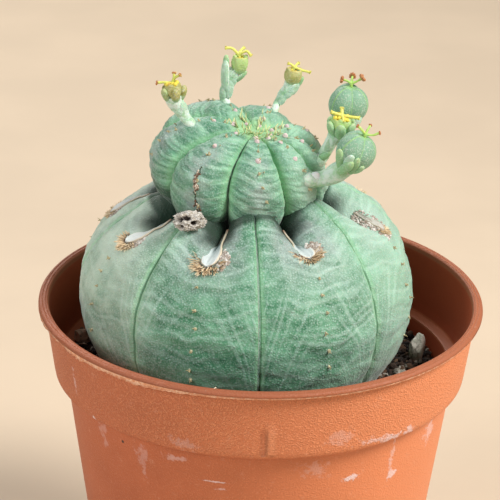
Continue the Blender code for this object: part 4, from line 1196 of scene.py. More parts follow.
ball_tree = BVHTree.FromObject(ball, bpy.context.evaluated_depsgraph_get())
bm = bmesh.new()
layers = [bm.verts.layers.float.new(label) for label in ("tip", "edge", "tint")]
for rib, top, end, shift, width, _, wax in SCARS:
    lay_tongue(bm, layers, rib, top, end, shift, width, wax)
tongues = piece_from(bm, "scar_tongues", finish_of("waxy_tongue", tongue_look, Specular_IOR_Level=0.5))
thicken = tongues.modifiers.new("thickness", "SOLIDIFY")
thicken.thickness = 0.25 * MM
thicken.offset = -1.0
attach(tongues, "root")
draw = random.Random(23)
fibres, crumbs = scar_seeds(draw)
fibre_rings = ((0.5, 0.0), (0.5, 0.3), (0.36, 0.7), (0.12, 1.0))
fringes = planted("scar_fringes", fibres, form_of("fibre", fibre_rings, 4),
                  finish_of("dry_fibre", fibre_look))
crumb_rings = ((0.5, -0.3), (1.0, 0.0), (0.8, 0.5), (0.3, 0.8))
crusts = planted("scar_crusts", crumbs, form_of("crumb", crumb_rings, 6),
                 finish_of("grey_crust", crumb_look))
for piece in (tongues, fringes, crusts):
    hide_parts(*[f"scar_{i}" for i in range(1, RIBS + 1)])

# The cracked crest
# The skin of the head's front left rib split down its crest while it swelled, and healed as a thin dark seam
# edged with brown and cream cork.
CRACK_PATH = (
    # rib and degrees down
    (7.42, 54), (7.47, 60), (7.54, 67), (7.52, 74), (7.58, 80), (7.56, 86), (7.62, 95), (7.63, 106),
)
CRACK_SEAM = np.arange(64, 106, 0.32)
CRACK_CORK = (
    # degrees down, number and size of the flakes there
    (72, 4, 0.8), (76, 7, 1.0), (80, 6, 0.9), (84, 3, 0.6), (97, 5, 0.8), (102, 4, 0.7),
)
SEAM_DARK = (0.030, 0.055, 0.025)
CORK_BROWN = (0.15, 0.080, 0.045)
CORK_CREAM = (0.74, 0.64, 0.52)
CORK_DARK = (0.12, 0.06, 0.03)


def cork_look(place):
    tint, fine = read(place, "tint"), grain(place, 2.6, 3.0, 0.7)
    tone = paint(
        tint.smooth(0.30, 0.60).mix(SEAM_DARK, CORK_BROWN),
        (tint.smooth(0.70, 0.95) * 0.9, CORK_CREAM),
        (fine.smooth(0.5, 0.68) * 0.5, CORK_DARK),
    )
    return {"Base Color": tone, "Roughness": fine * 0.1 + 0.8, "Height": fine * 0.2}


def crack_seeds(draw):
    """Dark chips close together down the seam, and flakes of cork that stand up along it."""
    seeds = []
    ribs, downs = zip(*CRACK_PATH)
    for degrees in CRACK_SEAM:
        at = np.interp(degrees, downs, ribs) + 0.012 * math.sin(degrees * 1.3) + draw.uniform(-0.006, 0.006)
        place, out, slope = along(head_surface, at, math.radians(degrees))
        size = draw.uniform(0.13, 0.22) * MM
        shape = (size, size * 0.6, size * 0.8)
        seeds.append((place - out * 0.4 * size, out, slope, shape, draw.uniform(0.0, 0.4)))
    for degrees, count, size in CRACK_CORK:
        for _ in range(count * 3):
            level = degrees + draw.gauss(0, 1.6)
            at = np.interp(level, downs, ribs) + draw.gauss(0, 0.018)
            place, out, slope = along(head_surface, at, math.radians(level))
            lie = out + slope * draw.uniform(-0.7, 0.7) + out.cross(slope) * draw.uniform(-0.7, 0.7)
            chip = size * draw.uniform(0.22, 0.42) * MM
            shape = (chip, chip * 0.6, chip * 1.1)
            seeds.append((place, lie.normalized(), slope, shape, draw.uniform(0.45, 1.0)))
    return seeds


crack = planted("crest_crack", crack_seeds(random.Random(71)), form_of("cork", crumb_rings, 6),
                finish_of("split_cork", cork_look))
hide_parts("plant_body")

# The dried stump
# What is left of a flower stalk that withered on the lower ball in front of the head: a grey, papery, crusty
# knuckle with hollow pits where its parts fell out, splintered at one end. It still sits where it grew.
STUMP_PLACE = (-14.2, -18.6, 103.6)
STUMP_HALF = (2.75, 1.6, 1.75)
HUSK_TAN = (0.72, 0.65, 0.54)
HUSK_WHITE = (0.97, 0.95, 0.90)
HUSK_VEIN = (0.24, 0.16, 0.11)
HUSK_PIT_PAINTED_SHADE = (0.035, 0.022, 0.016)
STUMP_PITS = (
    # way to the pit from the middle, width, depth
    ((-0.75, -0.62, 0.35), 0.40, 0.55),
    ((-0.10, -0.75, 0.60), 0.34, 0.50),
    ((0.45, -0.85, 0.05), 0.30, 0.45),
    ((-0.45, -0.80, -0.35), 0.26, 0.35),
    ((0.85, -0.40, 0.30), 0.24, 0.40),
)


def husk_look(place):
    pit, crust = read(place, "pit"), grain(place, 1.6, 5.0, 0.75)
    veins = grain(place, 3.2, kind="ShaderNodeTexVoronoi", feature="DISTANCE_TO_EDGE").smooth(0.10, 0.02)
    tone = paint(
        crust.smooth(0.35, 0.65).mix(HUSK_TAN, HUSK_WHITE),
        (veins * 0.45, HUSK_VEIN),
        # Painted shade, nearly black, in the pits.
        (pit.smooth(0.25, 0.75), HUSK_PIT_PAINTED_SHADE),
    )
    return {"Base Color": tone, "Roughness": crust * 0.1 + 0.82, "Height": crust * 0.5 - veins * 0.12}


def make_stump():
    """A ragged lump, drawn out to a splinter at its right end, with pits sunk into it."""
    bm = bmesh.new()
    bmesh.ops.create_icosphere(bm, subdivisions=6, radius=1.0)
    pit_layer = bm.verts.layers.float.new("pit")
    for vert in bm.verts:
        ray = vert.co.normalized()
        reach = 1 + 0.22 * noise.fractal(ray * 1.7 + Vector((3.1, 0, 0)), 0.6, 2.0, 5)
        ragged = 0.16 * noise.fractal(ray * 6.0, 0.5, 2.0, 4) + 0.10 * abs(noise.noise(ray * 5.0))
        splinter = 0.16 * max(0.0, ray.x) ** 4 * (1 + noise.noise(ray * 9.0))
        reach += ragged + splinter
        sunk = 0.0
        for way, width, depth in STUMP_PITS:
            near = (ray - Vector(way).normalized()).length / width
            sunk = max(sunk, math.exp(-near ** 4))
            reach -= depth * math.exp(-near ** 4) - 0.12 * math.exp(-((near - 1.25) / 0.28) ** 2)
        vert[pit_layer] = sunk
        spread = Vector(half * way for half, way in zip(STUMP_HALF, ray))
        vert.co = (Vector(STUMP_PLACE) + spread * reach) * MM
    return piece_from(bm, "dry_stump", finish_of("dry_husk", husk_look))


stump = make_stump()
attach(stump, "root")
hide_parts("dried_stump")

# The crown needles
# Thin, soft, pale leaves stand on the youngest knobs round the growing point and drop off as the knobs move
# outwards with growth; a few dry ones are left further down.
NEEDLE_ROWS = (
    # degrees down, number and length
    (4, 2, 1.1), (8, 2, 1.6), (12, 3, 1.7), (16, 2, 1.4), (21, 1, 1.0), (28, 1, 0.8), (40, 1, 0.7),
    (53, 1, 0.7),
)
NEEDLE_PALE = (0.66, 0.68, 0.36)
NEEDLE_DRY = (0.40, 0.31, 0.16)
NEEDLE_GREEN = (0.30, 0.45, 0.17)


def needle_look(place):
    tip, tint = read(place, "tip"), read(place, "tint")
    tone = paint(
        tip.smooth(0.0, 0.5).mix(NEEDLE_GREEN, NEEDLE_PALE),
        (tip.smooth(0.80, 1.0) * 0.7, NEEDLE_DRY),
        (tint.smooth(0.75, 0.85) * 0.85, NEEDLE_DRY),
    )
    return {"Base Color": tone, "Roughness": tip * 0.1 + 0.5}


def needle_seeds(draw):
    """Needles by rows down each crest of the head, the lowest ones dry."""
    seeds = []
    for rib in range(RIBS):
        for degrees, count, reach in NEEDLE_ROWS:
            for _ in range(count):
                place, out, slope = along(head_surface, rib + 0.5 + draw.uniform(-0.14, 0.14),
                                          math.radians(degrees + draw.uniform(-1.5, 1.5)))
                side = out.cross(slope)
                lie = out * draw.uniform(0.5, 1.1) + slope * draw.uniform(-0.1, 0.9)
                lie = (lie + side * draw.uniform(-0.6, 0.6)).normalized()
                length = reach * draw.uniform(0.7, 1.15) * MM
                thick = draw.uniform(0.075, 0.12) * MM
                dry = draw.uniform(0.8, 1.0) if degrees > 24 else draw.uniform(0.0, 0.8)
                seeds.append((place, lie, slope, (thick * 1.3, thick, length), dry))
    return seeds


def arch(spot):
    """Bends a needle over towards its way down the crest."""
    return Vector((spot.x + 0.8 * spot.z * spot.z, spot.y, spot.z))


needle_rings = ((0.7, -0.1), (0.9, 0.15), (1.0, 0.45), (0.8, 0.75), (0.45, 0.93), (0.15, 1.0))
needles = planted("crown_needles", needle_seeds(random.Random(31)) + bristles,
                  form_of("needle", needle_rings, 7, arch), finish_of("pale_needle", needle_look))
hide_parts("crown_leaves")

# The stalks
# Five flower stalks grow from the head's crests, thick and fleshy, waxy white at their feet and where scales
# sat; one forks to carry a flower and a seed capsule side by side.
STALKS = (
    # down and turn of its root on the head, or none for a fork, then its points, each with the radius there
    ("left_stalk", 44, -75, (
        (-15.2, -4.7, 119.2, 1.05), (-16.1, -4.7, 120.8, 1.30), (-17.4, -4.6, 122.6, 1.65),
        (-17.8, -4.6, 124.0, 1.9))),
    ("rear_stalk", 36, -142, (
        (-8.1, 5.5, 120.4, 0.95), (-7.6, 5.5, 122.5, 1.15), (-7.1, 5.5, 124.6, 1.35),
        (-6.5, 5.5, 126.2, 1.3))),
    ("back_right_stalk", 38, 154, (
        (2.5, 8.0, 118.8, 0.75), (3.4, 8.0, 120.1, 1.1), (4.5, 8.0, 121.7, 1.25), (5.0, 8.0, 122.9, 1.35))),
    ("front_fruit_stalk", 63, 54, (
        (10.9, -9.3, 109.2, 1.5), (13.2, -10.2, 110.3, 1.75), (15.3, -10.8, 111.8, 1.8),
        (16.8, -11.0, 113.2, 1.4))),
    ("back_fruit_stalk", 56, 76, (
        (11.5, -3.2, 111.6, 1.15), (12.2, -3.8, 113.3, 1.25), (13.1, -4.4, 115.2, 1.25),
        (13.9, -4.6, 116.8, 1.6))),
    ("back_fruit_stalk", None, None, (
        (12.4, -3.4, 113.6, 1.0), (13.8, -1.6, 114.8, 1.1), (15.4, 0.6, 116.4, 1.15),
        (16.1, 1.7, 118.0, 1.0))),
)
STALK_NODES = sorted({name for name, *_ in STALKS})
STALK_SIDES = 28
STALK_GREEN = (0.300, 0.545, 0.330)
STALK_WAX = (0.700, 0.810, 0.730)
STALK_LIGHT = (0.42, 0.66, 0.42)
STALK_WHITE = (0.82, 0.86, 0.82)
STALK_FOOT = (0.30, 0.19, 0.10)


def stalk_look(place):
    run = read(place, "run")
    streaks = grain(place, 0.9, 4.0, 0.65)
    wax = grain(place, 0.55, 3.0, 0.6)
    stipple = grain(place, 3.2, 2.0, 0.7).smooth(0.52, 0.66)
    tone = paint(
        streaks.smooth(0.35, 0.65).mix(STALK_GREEN, STALK_LIGHT),
        (wax.smooth(0.36, 0.58) * 0.85, STALK_WAX),
        (run.smooth(0.22, 0.05) * 0.35, STALK_WHITE),
        (run.smooth(0.05, 0.0) * wax.smooth(0.4, 0.5), STALK_FOOT),
        (stipple * 0.35, STALK_WAX),
    )
    return {"Base Color": tone, "Roughness": 0.55 - stipple * 0.05, "Height": streaks * 0.25 + stipple * 0.05}


def sweep_tree():
    """Sweeps a round section along smooth lines, as wide as each point says, and roughens its side."""
    tree, wires = new_tree("sweep_tube", [
        ("Steps", "Int", 24), ("Sides", "Int", 16), ("Waver", "Float", 0.0)])
    line = wires["Geometry"].add("GeometryNodeMeshToCurve", None, {0: wires["Geometry"]})
    line = line.add("GeometryNodeCurveSplineType", {"spline_type": "CATMULL_ROM"}, {"Curve": line})
    line = line.add("GeometryNodeResampleCurve", None, {"Curve": line, "Count": wires["Steps"]})
    run = Wire(tree).add("GeometryNodeSplineParameter")
    line = line.add("GeometryNodeStoreNamedAttribute", {"data_type": "FLOAT", "domain": "POINT"},
                    {"Geometry": line, "Name": "run", "Value": run})
    ring = line.add("GeometryNodeCurvePrimitiveCircle", {"mode": "RADIUS"}, {
        "Resolution": wires["Sides"], "Radius": 1.0})
    tube = line.add("GeometryNodeCurveToMesh", None, {
        "Curve": line, "Profile Curve": ring, "Scale": named(tree, "wide"), "Fill Caps": True})
    place = Wire(tree).add("GeometryNodeInputPosition")
    bumps = grain(place.scaled(900.0), 0.8) - 0.5
    push = Wire(tree).add("GeometryNodeInputNormal").scaled(bumps * wires["Waver"])
    moved = tube.add("GeometryNodeSetPosition", None, {"Geometry": tube, "Offset": push})
    close_tree(moved, wires)
    return tree


def lines_mesh(runs):
    """Several bare lines, each a list of x, y, z and radius in millimetres."""
    mesh = bpy.data.meshes.new("lines")
    points, edges = [], []
    for run in runs:
        edges += [(len(points) + i, len(points) + i + 1) for i in range(len(run) - 1)]
        points += run
    mesh.from_pydata([Vector(point[:3]) * MM for point in points], edges, [])
    label_points(mesh, "wide", [point[3] * MM for point in points])
    return mesh


def stalk_runs():
    """The stalks' lines, each but the fork started inside the head's crest."""
    runs = []
    for _, down, turn, points in STALKS:
        points = list(points)
        if down is not None:
            rib = np.interp(turn % 360, HEAD_FURROWS, range(RIBS + 1))
            seat, out, _ = along(head_surface, float(rib), math.radians(down))
            seat, wide = seat / MM, points[0][3]
            points = [(*(seat - out * 1.8), wide * 0.8), (*(seat - out * 0.4), wide), *points]
        runs.append(points)
    return runs


sweep_tube = sweep_tree()
stalk_skin = finish_of("waxy_stalk", stalk_look, Subsurface_Weight=0.08, Subsurface_Scale=0.002,
                       Specular_IOR_Level=0.35)
stalks = grow("flower_stalks", lines_mesh(stalk_runs()), sweep_tube, stalk_skin, 60, Steps=40,
              Sides=STALK_SIDES, Waver=0.0005)
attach(stalks, "root")
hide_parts(*STALK_NODES)

# The scales and cups
# Small plump scales wrap each stalk and ring its top; above them each flower is a round fleshy cup with five
# thick lobes on its rim and a crowd of yellow anthers inside. All of it is one living growth with its stalk.
CUPS = (
    # name, centre, axis, radius, height, tint (0 green to 1 olive), lobes standing round it, lip glands on it
    ("left", (-17.8, -4.6, 124.8), (-0.12, 0.05, 1.0), 1.75, 2.9, 0.95, 5, 5),
    ("rear", (-5.2, 5.5, 127.2), (0.06, 0.0, 1.0), 1.67, 3.7, 0.30, 0, 2),
    ("back_right", (5.4, 8.0, 124.1), (0.12, 0.0, 1.0), 1.78, 3.5, 0.75, 0, 2),
    ("middle", (14.8, -4.6, 118.6), (0.08, -0.1, 1.0), 2.1, 3.5, 0.15, 6, 4),
)
CUP_SIDES = 50
CUP_RINGS = (
    # share of the radius, share of the height from the middle
    (0.10, -0.52), (0.42, -0.49), (0.72, -0.36), (0.93, -0.12), (1.0, 0.10), (0.97, 0.30), (0.86, 0.44),
    (0.78, 0.50), (0.70, 0.48), (0.62, 0.38), (0.50, 0.22), (0.05, 0.20),
)
ANTHERS_IN_OPEN_CUP = 26
ANTHERS_IN_CLOSED_CUP = 8
SCALES = (
    # foot, way it points, way out, width, length, thickness, tint (0 waxy white to 1 plain green)
    ((-15.3, -5.5, 119.0), (-0.45, 0.0, 1.0), (0.3, -1.0, 0.1), 0.85, 2.8, 0.30, 0.10),
    ((-16.3, -5.7, 120.2), (-0.50, 0.0, 1.0), (-0.2, -1.0, 0.1), 0.95, 2.9, 0.32, 0.25),
    ((-15.4, -5.4, 120.8), (-0.30, -0.1, 1.0), (0.8, -0.8, 0.1), 0.80, 2.4, 0.30, 0.30),
    ((-17.5, -5.4, 121.2), (-0.60, 0.0, 1.0), (-0.9, -0.6, 0.1), 0.90, 2.6, 0.32, 0.30),
    ((-8.5, 4.7, 120.0), (0.0, 0.0, 1.0), (-0.4, -1.0, 0.1), 0.70, 3.1, 0.35, 0.35),
    ((-7.3, 4.6, 120.9), (0.12, 0.0, 1.0), (0.2, -1.0, 0.1), 0.80, 4.4, 0.35, 0.10),
    ((-8.0, 4.8, 122.3), (0.0, 0.0, 1.0), (-0.6, -0.9, 0.1), 0.98, 6.0, 0.70, 0.30),
    ((-7.9, 5.3, 126.4), (0.0, 0.0, 1.0), (-0.3, -1.0, 0.1), 0.62, 2.9, 0.55, 1.0),
    ((-6.6, 4.7, 123.4), (0.22, 0.0, 1.0), (0.3, -1.0, 0.1), 0.85, 3.2, 0.35, 0.20),
    ((-5.8, 5.0, 124.0), (0.95, 0.0, 1.0), (0.7, -0.8, -0.3), 0.65, 2.9, 0.35, 0.75),
    ((3.0, 7.2, 118.8), (0.50, 0.0, 1.0), (-0.3, -1.0, 0.1), 0.75, 3.0, 0.32, 0.15),
    ((4.1, 7.0, 120.3), (0.45, 0.0, 1.0), (-0.2, -1.0, 0.1), 0.95, 2.8, 0.32, 0.15),
    ((5.1, 7.1, 120.9), (0.60, 0.0, 1.0), (0.6, -0.9, 0.1), 0.90, 2.6, 0.32, 0.25),
    ((6.2, 7.6, 122.2), (0.55, 0.0, 1.0), (0.6, -0.8, -0.1), 0.55, 2.5, 0.40, 0.95),
    ((10.9, -4.6, 111.4), (1.0, -0.1, 1.0), (-0.2, -1.0, 0.2), 0.80, 3.0, 0.60, 1.0),
    ((12.2, -5.0, 113.4), (0.35, -0.1, 1.0), (0.1, -1.0, 0.1), 0.85, 3.2, 0.40, 0.45),
    ((13.6, -5.5, 115.4), (-0.30, -0.05, 1.0), (-0.4, -1.0, 0.1), 0.65, 2.9, 0.35, 0.15),
    ((13.9, -5.3, 115.2), (0.45, -0.1, 1.0), (0.6, -0.9, 0.1), 0.75, 2.8, 0.40, 0.60),
    ((15.2, -0.5, 116.0), (0.5, 0.2, 0.9), (0.4, -1.0, 0.0), 0.80, 2.8, 0.45, 0.50),
    ((17.4, 0.0, 116.6), (0.5, -0.1, 0.9), (0.5, -0.8, -0.2), 0.80, 2.8, 0.50, 0.10),
    ((16.4, -0.6, 116.2), (0.3, -0.2, 0.9), (0.2, -1.0, -0.2), 0.80, 2.6, 0.50, 0.70),
    ((14.9, -12.0, 112.4), (-0.5, -2.2, 5.1), (-0.6, -1.0, -0.2), 0.95, 5.3, 0.75, 1.0),
    ((15.6, -13.2, 113.8), (1.4, -2.0, 2.7), (-0.2, -1.0, -0.3), 0.85, 3.4, 0.65, 0.25),
    ((14.6, -12.8, 112.0), (2.5, -2.2, 3.2), (-0.2, -1.0, -0.3), 1.02, 4.5, 0.80, 1.0),
    ((16.8, -12.4, 112.0), (1.2, -2.7, 3.9), (0.1, -1.0, -0.4), 0.85, 4.8, 0.70, 1.0),
    ((17.2, -12.0, 111.9), (2.0, -2.2, 2.0), (0.3, -1.0, -0.5), 0.75, 3.4, 0.60, 0.75),
    ((18.2, -10.8, 112.6), (0.9, 0.2, 0.8), (0.7, -0.3, -0.5), 0.90, 2.6, 0.60, 0.60),
    ((15.6, -8.9, 112.6), (0.2, 0.3, 0.9), (-0.3, 1.0, 0.1), 0.95, 3.0, 0.70, 0.80),
    ((9.0, -10.1, 109.2), (0.9, -0.2, 0.8), (-0.2, -1.0, 0.3), 0.95, 2.4, 0.35, -0.6),
    ((12.0, -9.9, 110.9), (1.0, -0.2, 0.9), (-0.4, -0.6, 0.8), 0.80, 3.4, 0.30, 0.05),
)
CUP_LIGHT = (0.400, 0.580, 0.210)
CUP_OLIVE = (0.270, 0.270, 0.060)
CUP_TAN = (0.460, 0.440, 0.180)
CUP_FOOT = (0.45, 0.66, 0.42)
CUP_RIM = (0.62, 0.52, 0.12)
CUP_FLECK = (0.76, 0.80, 0.62)
SCALE_WAXY = (0.44, 0.64, 0.48)
SCALE_GREEN = (0.27, 0.50, 0.25)
SCALE_MOTTLE = (0.66, 0.78, 0.70)
SCALE_EDGE = (0.80, 0.86, 0.82)
SCALE_TIP = (0.48, 0.62, 0.28)
SCALE_CHALK = (0.80, 0.80, 0.80)


def cup_look(place):
    tint, tip = read(place, "tint"), read(place, "tip")
    mottle = grain(place, 0.75, 4.0, 0.65)
    fleck = grain(place, 2.8, 2.0, 0.6).smooth(0.56, 0.68)
    tone = paint(
        tint.smooth(0.15, 0.85).mix(CUP_LIGHT, CUP_TAN),
        (mottle.smooth(0.48, 0.66) * tint.smooth(0.1, 0.7) * 0.7, CUP_OLIVE),
        (tip.smooth(0.40, 0.10) * 0.65, CUP_FOOT),
        (tip.smooth(0.90, 1.0) * 0.6, CUP_RIM),
        (fleck * 0.30, CUP_FLECK),
    )
    return {"Base Color": tone, "Roughness": 0.52 - fleck * 0.05, "Height": mottle * 0.25 + fleck * 0.05}


def scale_look(place):
    tint, tip = read(place, "tint"), read(place, "tip")
    mottle = grain(place, 0.9, 3.0, 0.6)
    edge = read(place, "edge")
    fleck = grain(place, 3.0, 2.0, 0.6).smooth(0.52, 0.66)
    tone = paint(
        tint.smooth(0.0, 0.9).mix(SCALE_WAXY, SCALE_GREEN),
        (mottle.smooth(0.44, 0.64) * tint.smooth(0.9, 0.0) * 0.6, SCALE_MOTTLE),
        (edge.smooth(0.90, 1.0) * tint.smooth(1.3, 0.2) * 0.8, SCALE_EDGE),
        (tip.smooth(0.70, 1.0) * tint.smooth(0.3, 0.8) * 0.45, SCALE_TIP),
        (tint.smooth(1.15, 1.9) * tip.smooth(0.0, 0.5), mottle.smooth(0.42, 0.6).mix(CUP_TAN, CUP_OLIVE)),
        (tint.smooth(-0.2, -0.5), SCALE_CHALK),
        (fleck * 0.35, STALK_WAX),
    )
    return {"Base Color": tone, "Roughness": 0.56 - fleck * 0.05, "Height": mottle * 0.2 + fleck * 0.06}


def around(axis, turn):
    """The way that points straight out from an axis at a turn round it."""
    axis = Vector(axis).normalized()
    first = axis.cross(Vector((0.1, 1, 0.2))).normalized()
    return first * math.cos(turn) + axis.cross(first) * math.sin(turn)


def lay_cup(bm, layers, centre, axis, radius, height, tint):
    """A round cup with five low lobes and a thick rim, hollow at its top."""
    middle, up = Vector(centre), Vector(axis).normalized()
    rows = []
    for share, level in CUP_RINGS:
        row = []
        for k in range(CUP_SIDES):
            turn = math.tau * k / CUP_SIDES
            lobe = 1 + 0.07 * math.cos(5 * turn) * math.sin(math.pi * min(1.0, max(0.0, level + 0.5)))
            spot = middle + up * height * level + around(axis, turn) * radius * share * lobe
            vert = bm.verts.new(spot * MM)
            vert[layers[0]], vert[layers[1]] = level + 0.5, tint
            row.append(vert)
        rows.append(row)
    close_rows(bm, rows)


bm = bmesh.new()
layers = [bm.verts.layers.float.new(label) for label in ("tip", "tint")]
for _, centre, axis, radius, height, tint, _, _ in CUPS:
    lay_cup(bm, layers, centre, axis, radius, height, tint)
cup_skin = finish_of("fleshy_cup", cup_look, Subsurface_Weight=0.1, Subsurface_Scale=0.002)
cups = piece_from(bm, "flower_cups", cup_skin)
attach(cups, "root")

draw = random.Random(41)
glands, anthers, bracts = [], [], []
for _, centre, axis, radius, height, tint, lobe_count, gland_count in CUPS:
    centre, axis = Vector(centre), Vector(axis).normalized()
    for i in range(lobe_count):
        out = around(axis, math.tau * (i + 0.55) / lobe_count)
        place = centre - axis * height * 0.55 + out * radius * 0.66
        length = height * draw.uniform(0.92, 1.08)
        bract_tint = 1.0 + tint * draw.uniform(0.5, 1.0)
        bracts.append((place, axis + out * 0.42, out, radius * 0.52, length, 0.72, bract_tint))
    for i in range(gland_count):
        out = around(axis, math.tau * (i + 0.1) / gland_count)
        place = centre + axis * height * 0.38 + out * radius * 0.62
        lie = (axis + out * 0.35).normalized()
        shape = (radius * 0.44 * MM, radius * 0.26 * MM, 0.7 * MM)
        gland_tint = min(1.0, tint + draw.uniform(-0.1, 0.1))
        glands.append((place * MM, lie, out.cross(axis), shape, gland_tint))
    for _ in range(ANTHERS_IN_OPEN_CUP if lobe_count else ANTHERS_IN_CLOSED_CUP):
        out = around(axis, draw.uniform(0, math.tau))
        place = centre + axis * height * 0.25 + out * radius * draw.uniform(0.08, 0.55)
        lie = (axis + out * draw.uniform(-0.1, 0.5)).normalized()
        size = draw.uniform(0.8, 1.2) * (1.0 if lobe_count else 0.6) * MM
        anthers.append((place * MM, lie, out, (size, size, size * 1.2), draw.random()))
gland_rings = ((0.70, -0.6), (0.92, -0.25), (1.0, 0.15), (0.95, 0.5), (0.72, 0.80), (0.38, 0.96), (0.12, 1.0))
lobes = planted("cup_lobes", glands, form_of("gland", gland_rings, 16), cup_skin)
for piece in (cups, lobes):
    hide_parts(*STALK_NODES)


def bow(spot):
    """Bends a scale a little inwards at its tip, towards -X."""
    return Vector((spot.x + 0.5 * (spot.z - spot.z * spot.z), spot.y, spot.z))


seeds = []
for foot, lie, out, width, length, thick, tint in (*SCALES, *bracts):
    lie, out = Vector(lie).normalized(), Vector(out).normalized()
    seeds.append((Vector(foot) * MM, lie, out, (thick * MM, width * MM, length * MM), tint))
scale_rings = (
    (0.55, -0.08), (0.80, 0.05), (0.95, 0.22), (1.0, 0.42), (0.97, 0.62), (0.84, 0.80), (0.60, 0.92),
    (0.32, 0.98), (0.10, 1.0),
)
scale_skin = finish_of("plump_scale", scale_look, Subsurface_Weight=0.1, Subsurface_Scale=0.002)
scales = planted("stalk_scales", seeds, form_of("scale", scale_rings, 20, bow), scale_skin)
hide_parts(*STALK_NODES)

# The seed capsules
# Two ripening seed capsules: balls of three rounded lobes, grey-green with a fine white stipple, with a
# light-green seam down each lobe and between the lobes. Each grew from its flower, and stays on its stalk.
CAPSULES = (
    # name, centre, axis, radius, turn of its first seam, node
    ("front_capsule", (17.6, -11.0, 115.9), (0.40, -0.18, 0.88), 4.0, 8, "front_fruit_stalk"),
    ("back_capsule", (16.3, 2.0, 120.9), (0.11, -0.16, 1.0), 4.05, 8, "back_fruit_stalk"),
)
CAPSULE_LOBES = 3
CAPSULE_COLUMNS = 36
CAPSULE_DOWNS = np.radians(np.linspace(2, 178, 60))
CAPSULE_GREEN = (0.200, 0.390, 0.250)
SEAM_GREEN = (0.330, 0.600, 0.240)
CAPSULE_DEEP = (0.200, 0.380, 0.250)
CAPSULE_DOT = (0.60, 0.72, 0.60)
CAPSULE_FOOT = (0.48, 0.66, 0.48)


def capsule_look(place):
    which, across, side, down = skin_parts(place, 77.0)
    mottle = grain(place, 0.45, 4.0, 0.6)
    stipple = grain(place, 3.0, 2.0, 0.7).smooth(0.48, 0.62)
    near = down.math("SINE") * 0.9 + 0.1
    seam = (side * near).smooth(0.07, 0.015)
    valley = ((1 - side) * near).smooth(0.06, 0.01)
    tone = paint(
        mottle.smooth(0.35, 0.65).mix(CAPSULE_DEEP, CAPSULE_GREEN),
        (stipple * 0.50, CAPSULE_DOT),
        (seam.math("MAXIMUM", valley) * 0.85, SEAM_GREEN),
        (down.over(24, 6) * 0.7, SEAM_GREEN),
        (down.over(125, 150) * 0.5, CAPSULE_FOOT),
    )
    return {"Base Color": tone, "Roughness": 0.60 - stipple * 0.06, "Height": stipple * 0.08 + seam * 0.12}


capsule_skin = finish_of("capsule_skin", capsule_look, Subsurface_Weight=0.05, Subsurface_Scale=0.002)
for name, centre, axis, radius, first_turn, node in CAPSULES:
    up = Vector(axis).normalized()
    right = (Vector((1, 0, 0)) - up * up.x).normalized()
    points = rib_grid(name, CAPSULE_COLUMNS, CAPSULE_DOWNS,
                      lambda rib, _: np.radians(first_turn) + rib * math.tau / CAPSULE_LOBES,
                      ribs=CAPSULE_LOBES)
    made = grow(
        name, points, swell_ribs, capsule_skin, 0, Radius=radius * MM, Rise=radius * MM, Drop=radius * MM,
        Furrow_Depth=0.0005, Furrow_Edge=2.0, Furrow_Upper=0.0, Crown_Depth=0.0005, Crown_Width=0.0012,
        Seed=3.0, Centre=tuple(Vector(centre) * MM), Right=tuple(right), Front=tuple(right.cross(up)),
        Up=tuple(up))
    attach(made, "root")
    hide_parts(node)

# The style arms and anthers
# From each flower and capsule a short column rises and forks into three arms with split, knobbly tips: bright
# yellow on the flowers, green with rust-brown tips on the ripening capsules.
STYLES = (
    # node, foot, fork, age (0 fresh yellow, 1 green with brown tips), half width, size of its tips, then its
    # arms, each a bend and a tip
    ("left_bloom", (-17.9, -4.7, 125.6), (-18.1, -4.7, 126.5), 0.45, 0.27, 0.8,
     (((-19.7, -4.8, 126.7), (-21.1, -4.8, 126.6)), ((-17.8, -4.6, 127.6), (-17.7, -4.3, 128.6)),
      ((-17.6, -4.7, 127.6), (-16.5, -5.0, 128.4)))),
    ("rear_bloom", (-5.3, 5.5, 128.4), (-5.5, 5.5, 129.3), 0.0, 0.30, 0.7,
     (((-6.7, 5.5, 130.5), (-8.1, 5.4, 130.7)), ((-4.0, 5.4, 130.1), (-3.0, 5.4, 129.2)),
      ((-5.0, 6.3, 130.0), (-4.5, 7.2, 130.2)))),
    ("back_right_bloom", (5.4, 8.0, 125.4), (5.6, 8.0, 126.1), 0.12, 0.28, 0.7,
     (((5.0, 8.0, 126.7), (4.3, 8.0, 126.9)), ((7.1, 7.9, 125.6), (8.8, 7.8, 125.2)),
      ((6.1, 8.9, 126.5), (6.4, 9.6, 126.5)))),
    ("front_fruit_style", (19.1, -11.6, 118.6), (19.3, -11.7, 119.5), 1.0, 0.25, 0.7,
     (((18.5, -11.8, 120.5), (17.7, -11.8, 121.3)), ((20.7, -11.5, 119.3), (22.1, -11.4, 119.8)),
      ((19.8, -10.6, 120.2), (20.3, -9.5, 120.6)))),
    ("back_fruit_style", (16.8, 1.7, 124.0), (16.8, 1.8, 125.1), 1.0, 0.25, 1.35,
     (((15.8, 1.8, 125.7), (14.9, 1.8, 125.9)), ((18.0, 1.8, 125.7), (18.9, 1.8, 126.3)),
      ((16.9, 2.9, 125.7), (17.0, 3.9, 126.0)))),
    ("middle_bloom", (14.9, -4.7, 119.2), (14.9, -4.8, 120.7), 0.0, 0.36, 0.8,
     (((13.9, -4.9, 121.1), (12.8, -5.0, 121.5)), ((16.6, -5.0, 120.6), (18.3, -5.1, 120.4)),
      ((14.9, -4.2, 121.5), (14.9, -3.8, 122.0)), ((15.1, -5.8, 120.6), (15.2, -6.3, 120.0)))),
)
KNOBS_PER_TIP = 9
STYLE_YELLOW = (0.66, 0.66, 0.14)
STYLE_GREEN = (0.36, 0.58, 0.13)
STYLE_RUST = (0.42, 0.16, 0.055)
STYLE_GOLD = (0.85, 0.78, 0.25)
TIP_AMBER = (0.66, 0.34, 0.14)
ANTHER_STEM = (0.52, 0.58, 0.14)
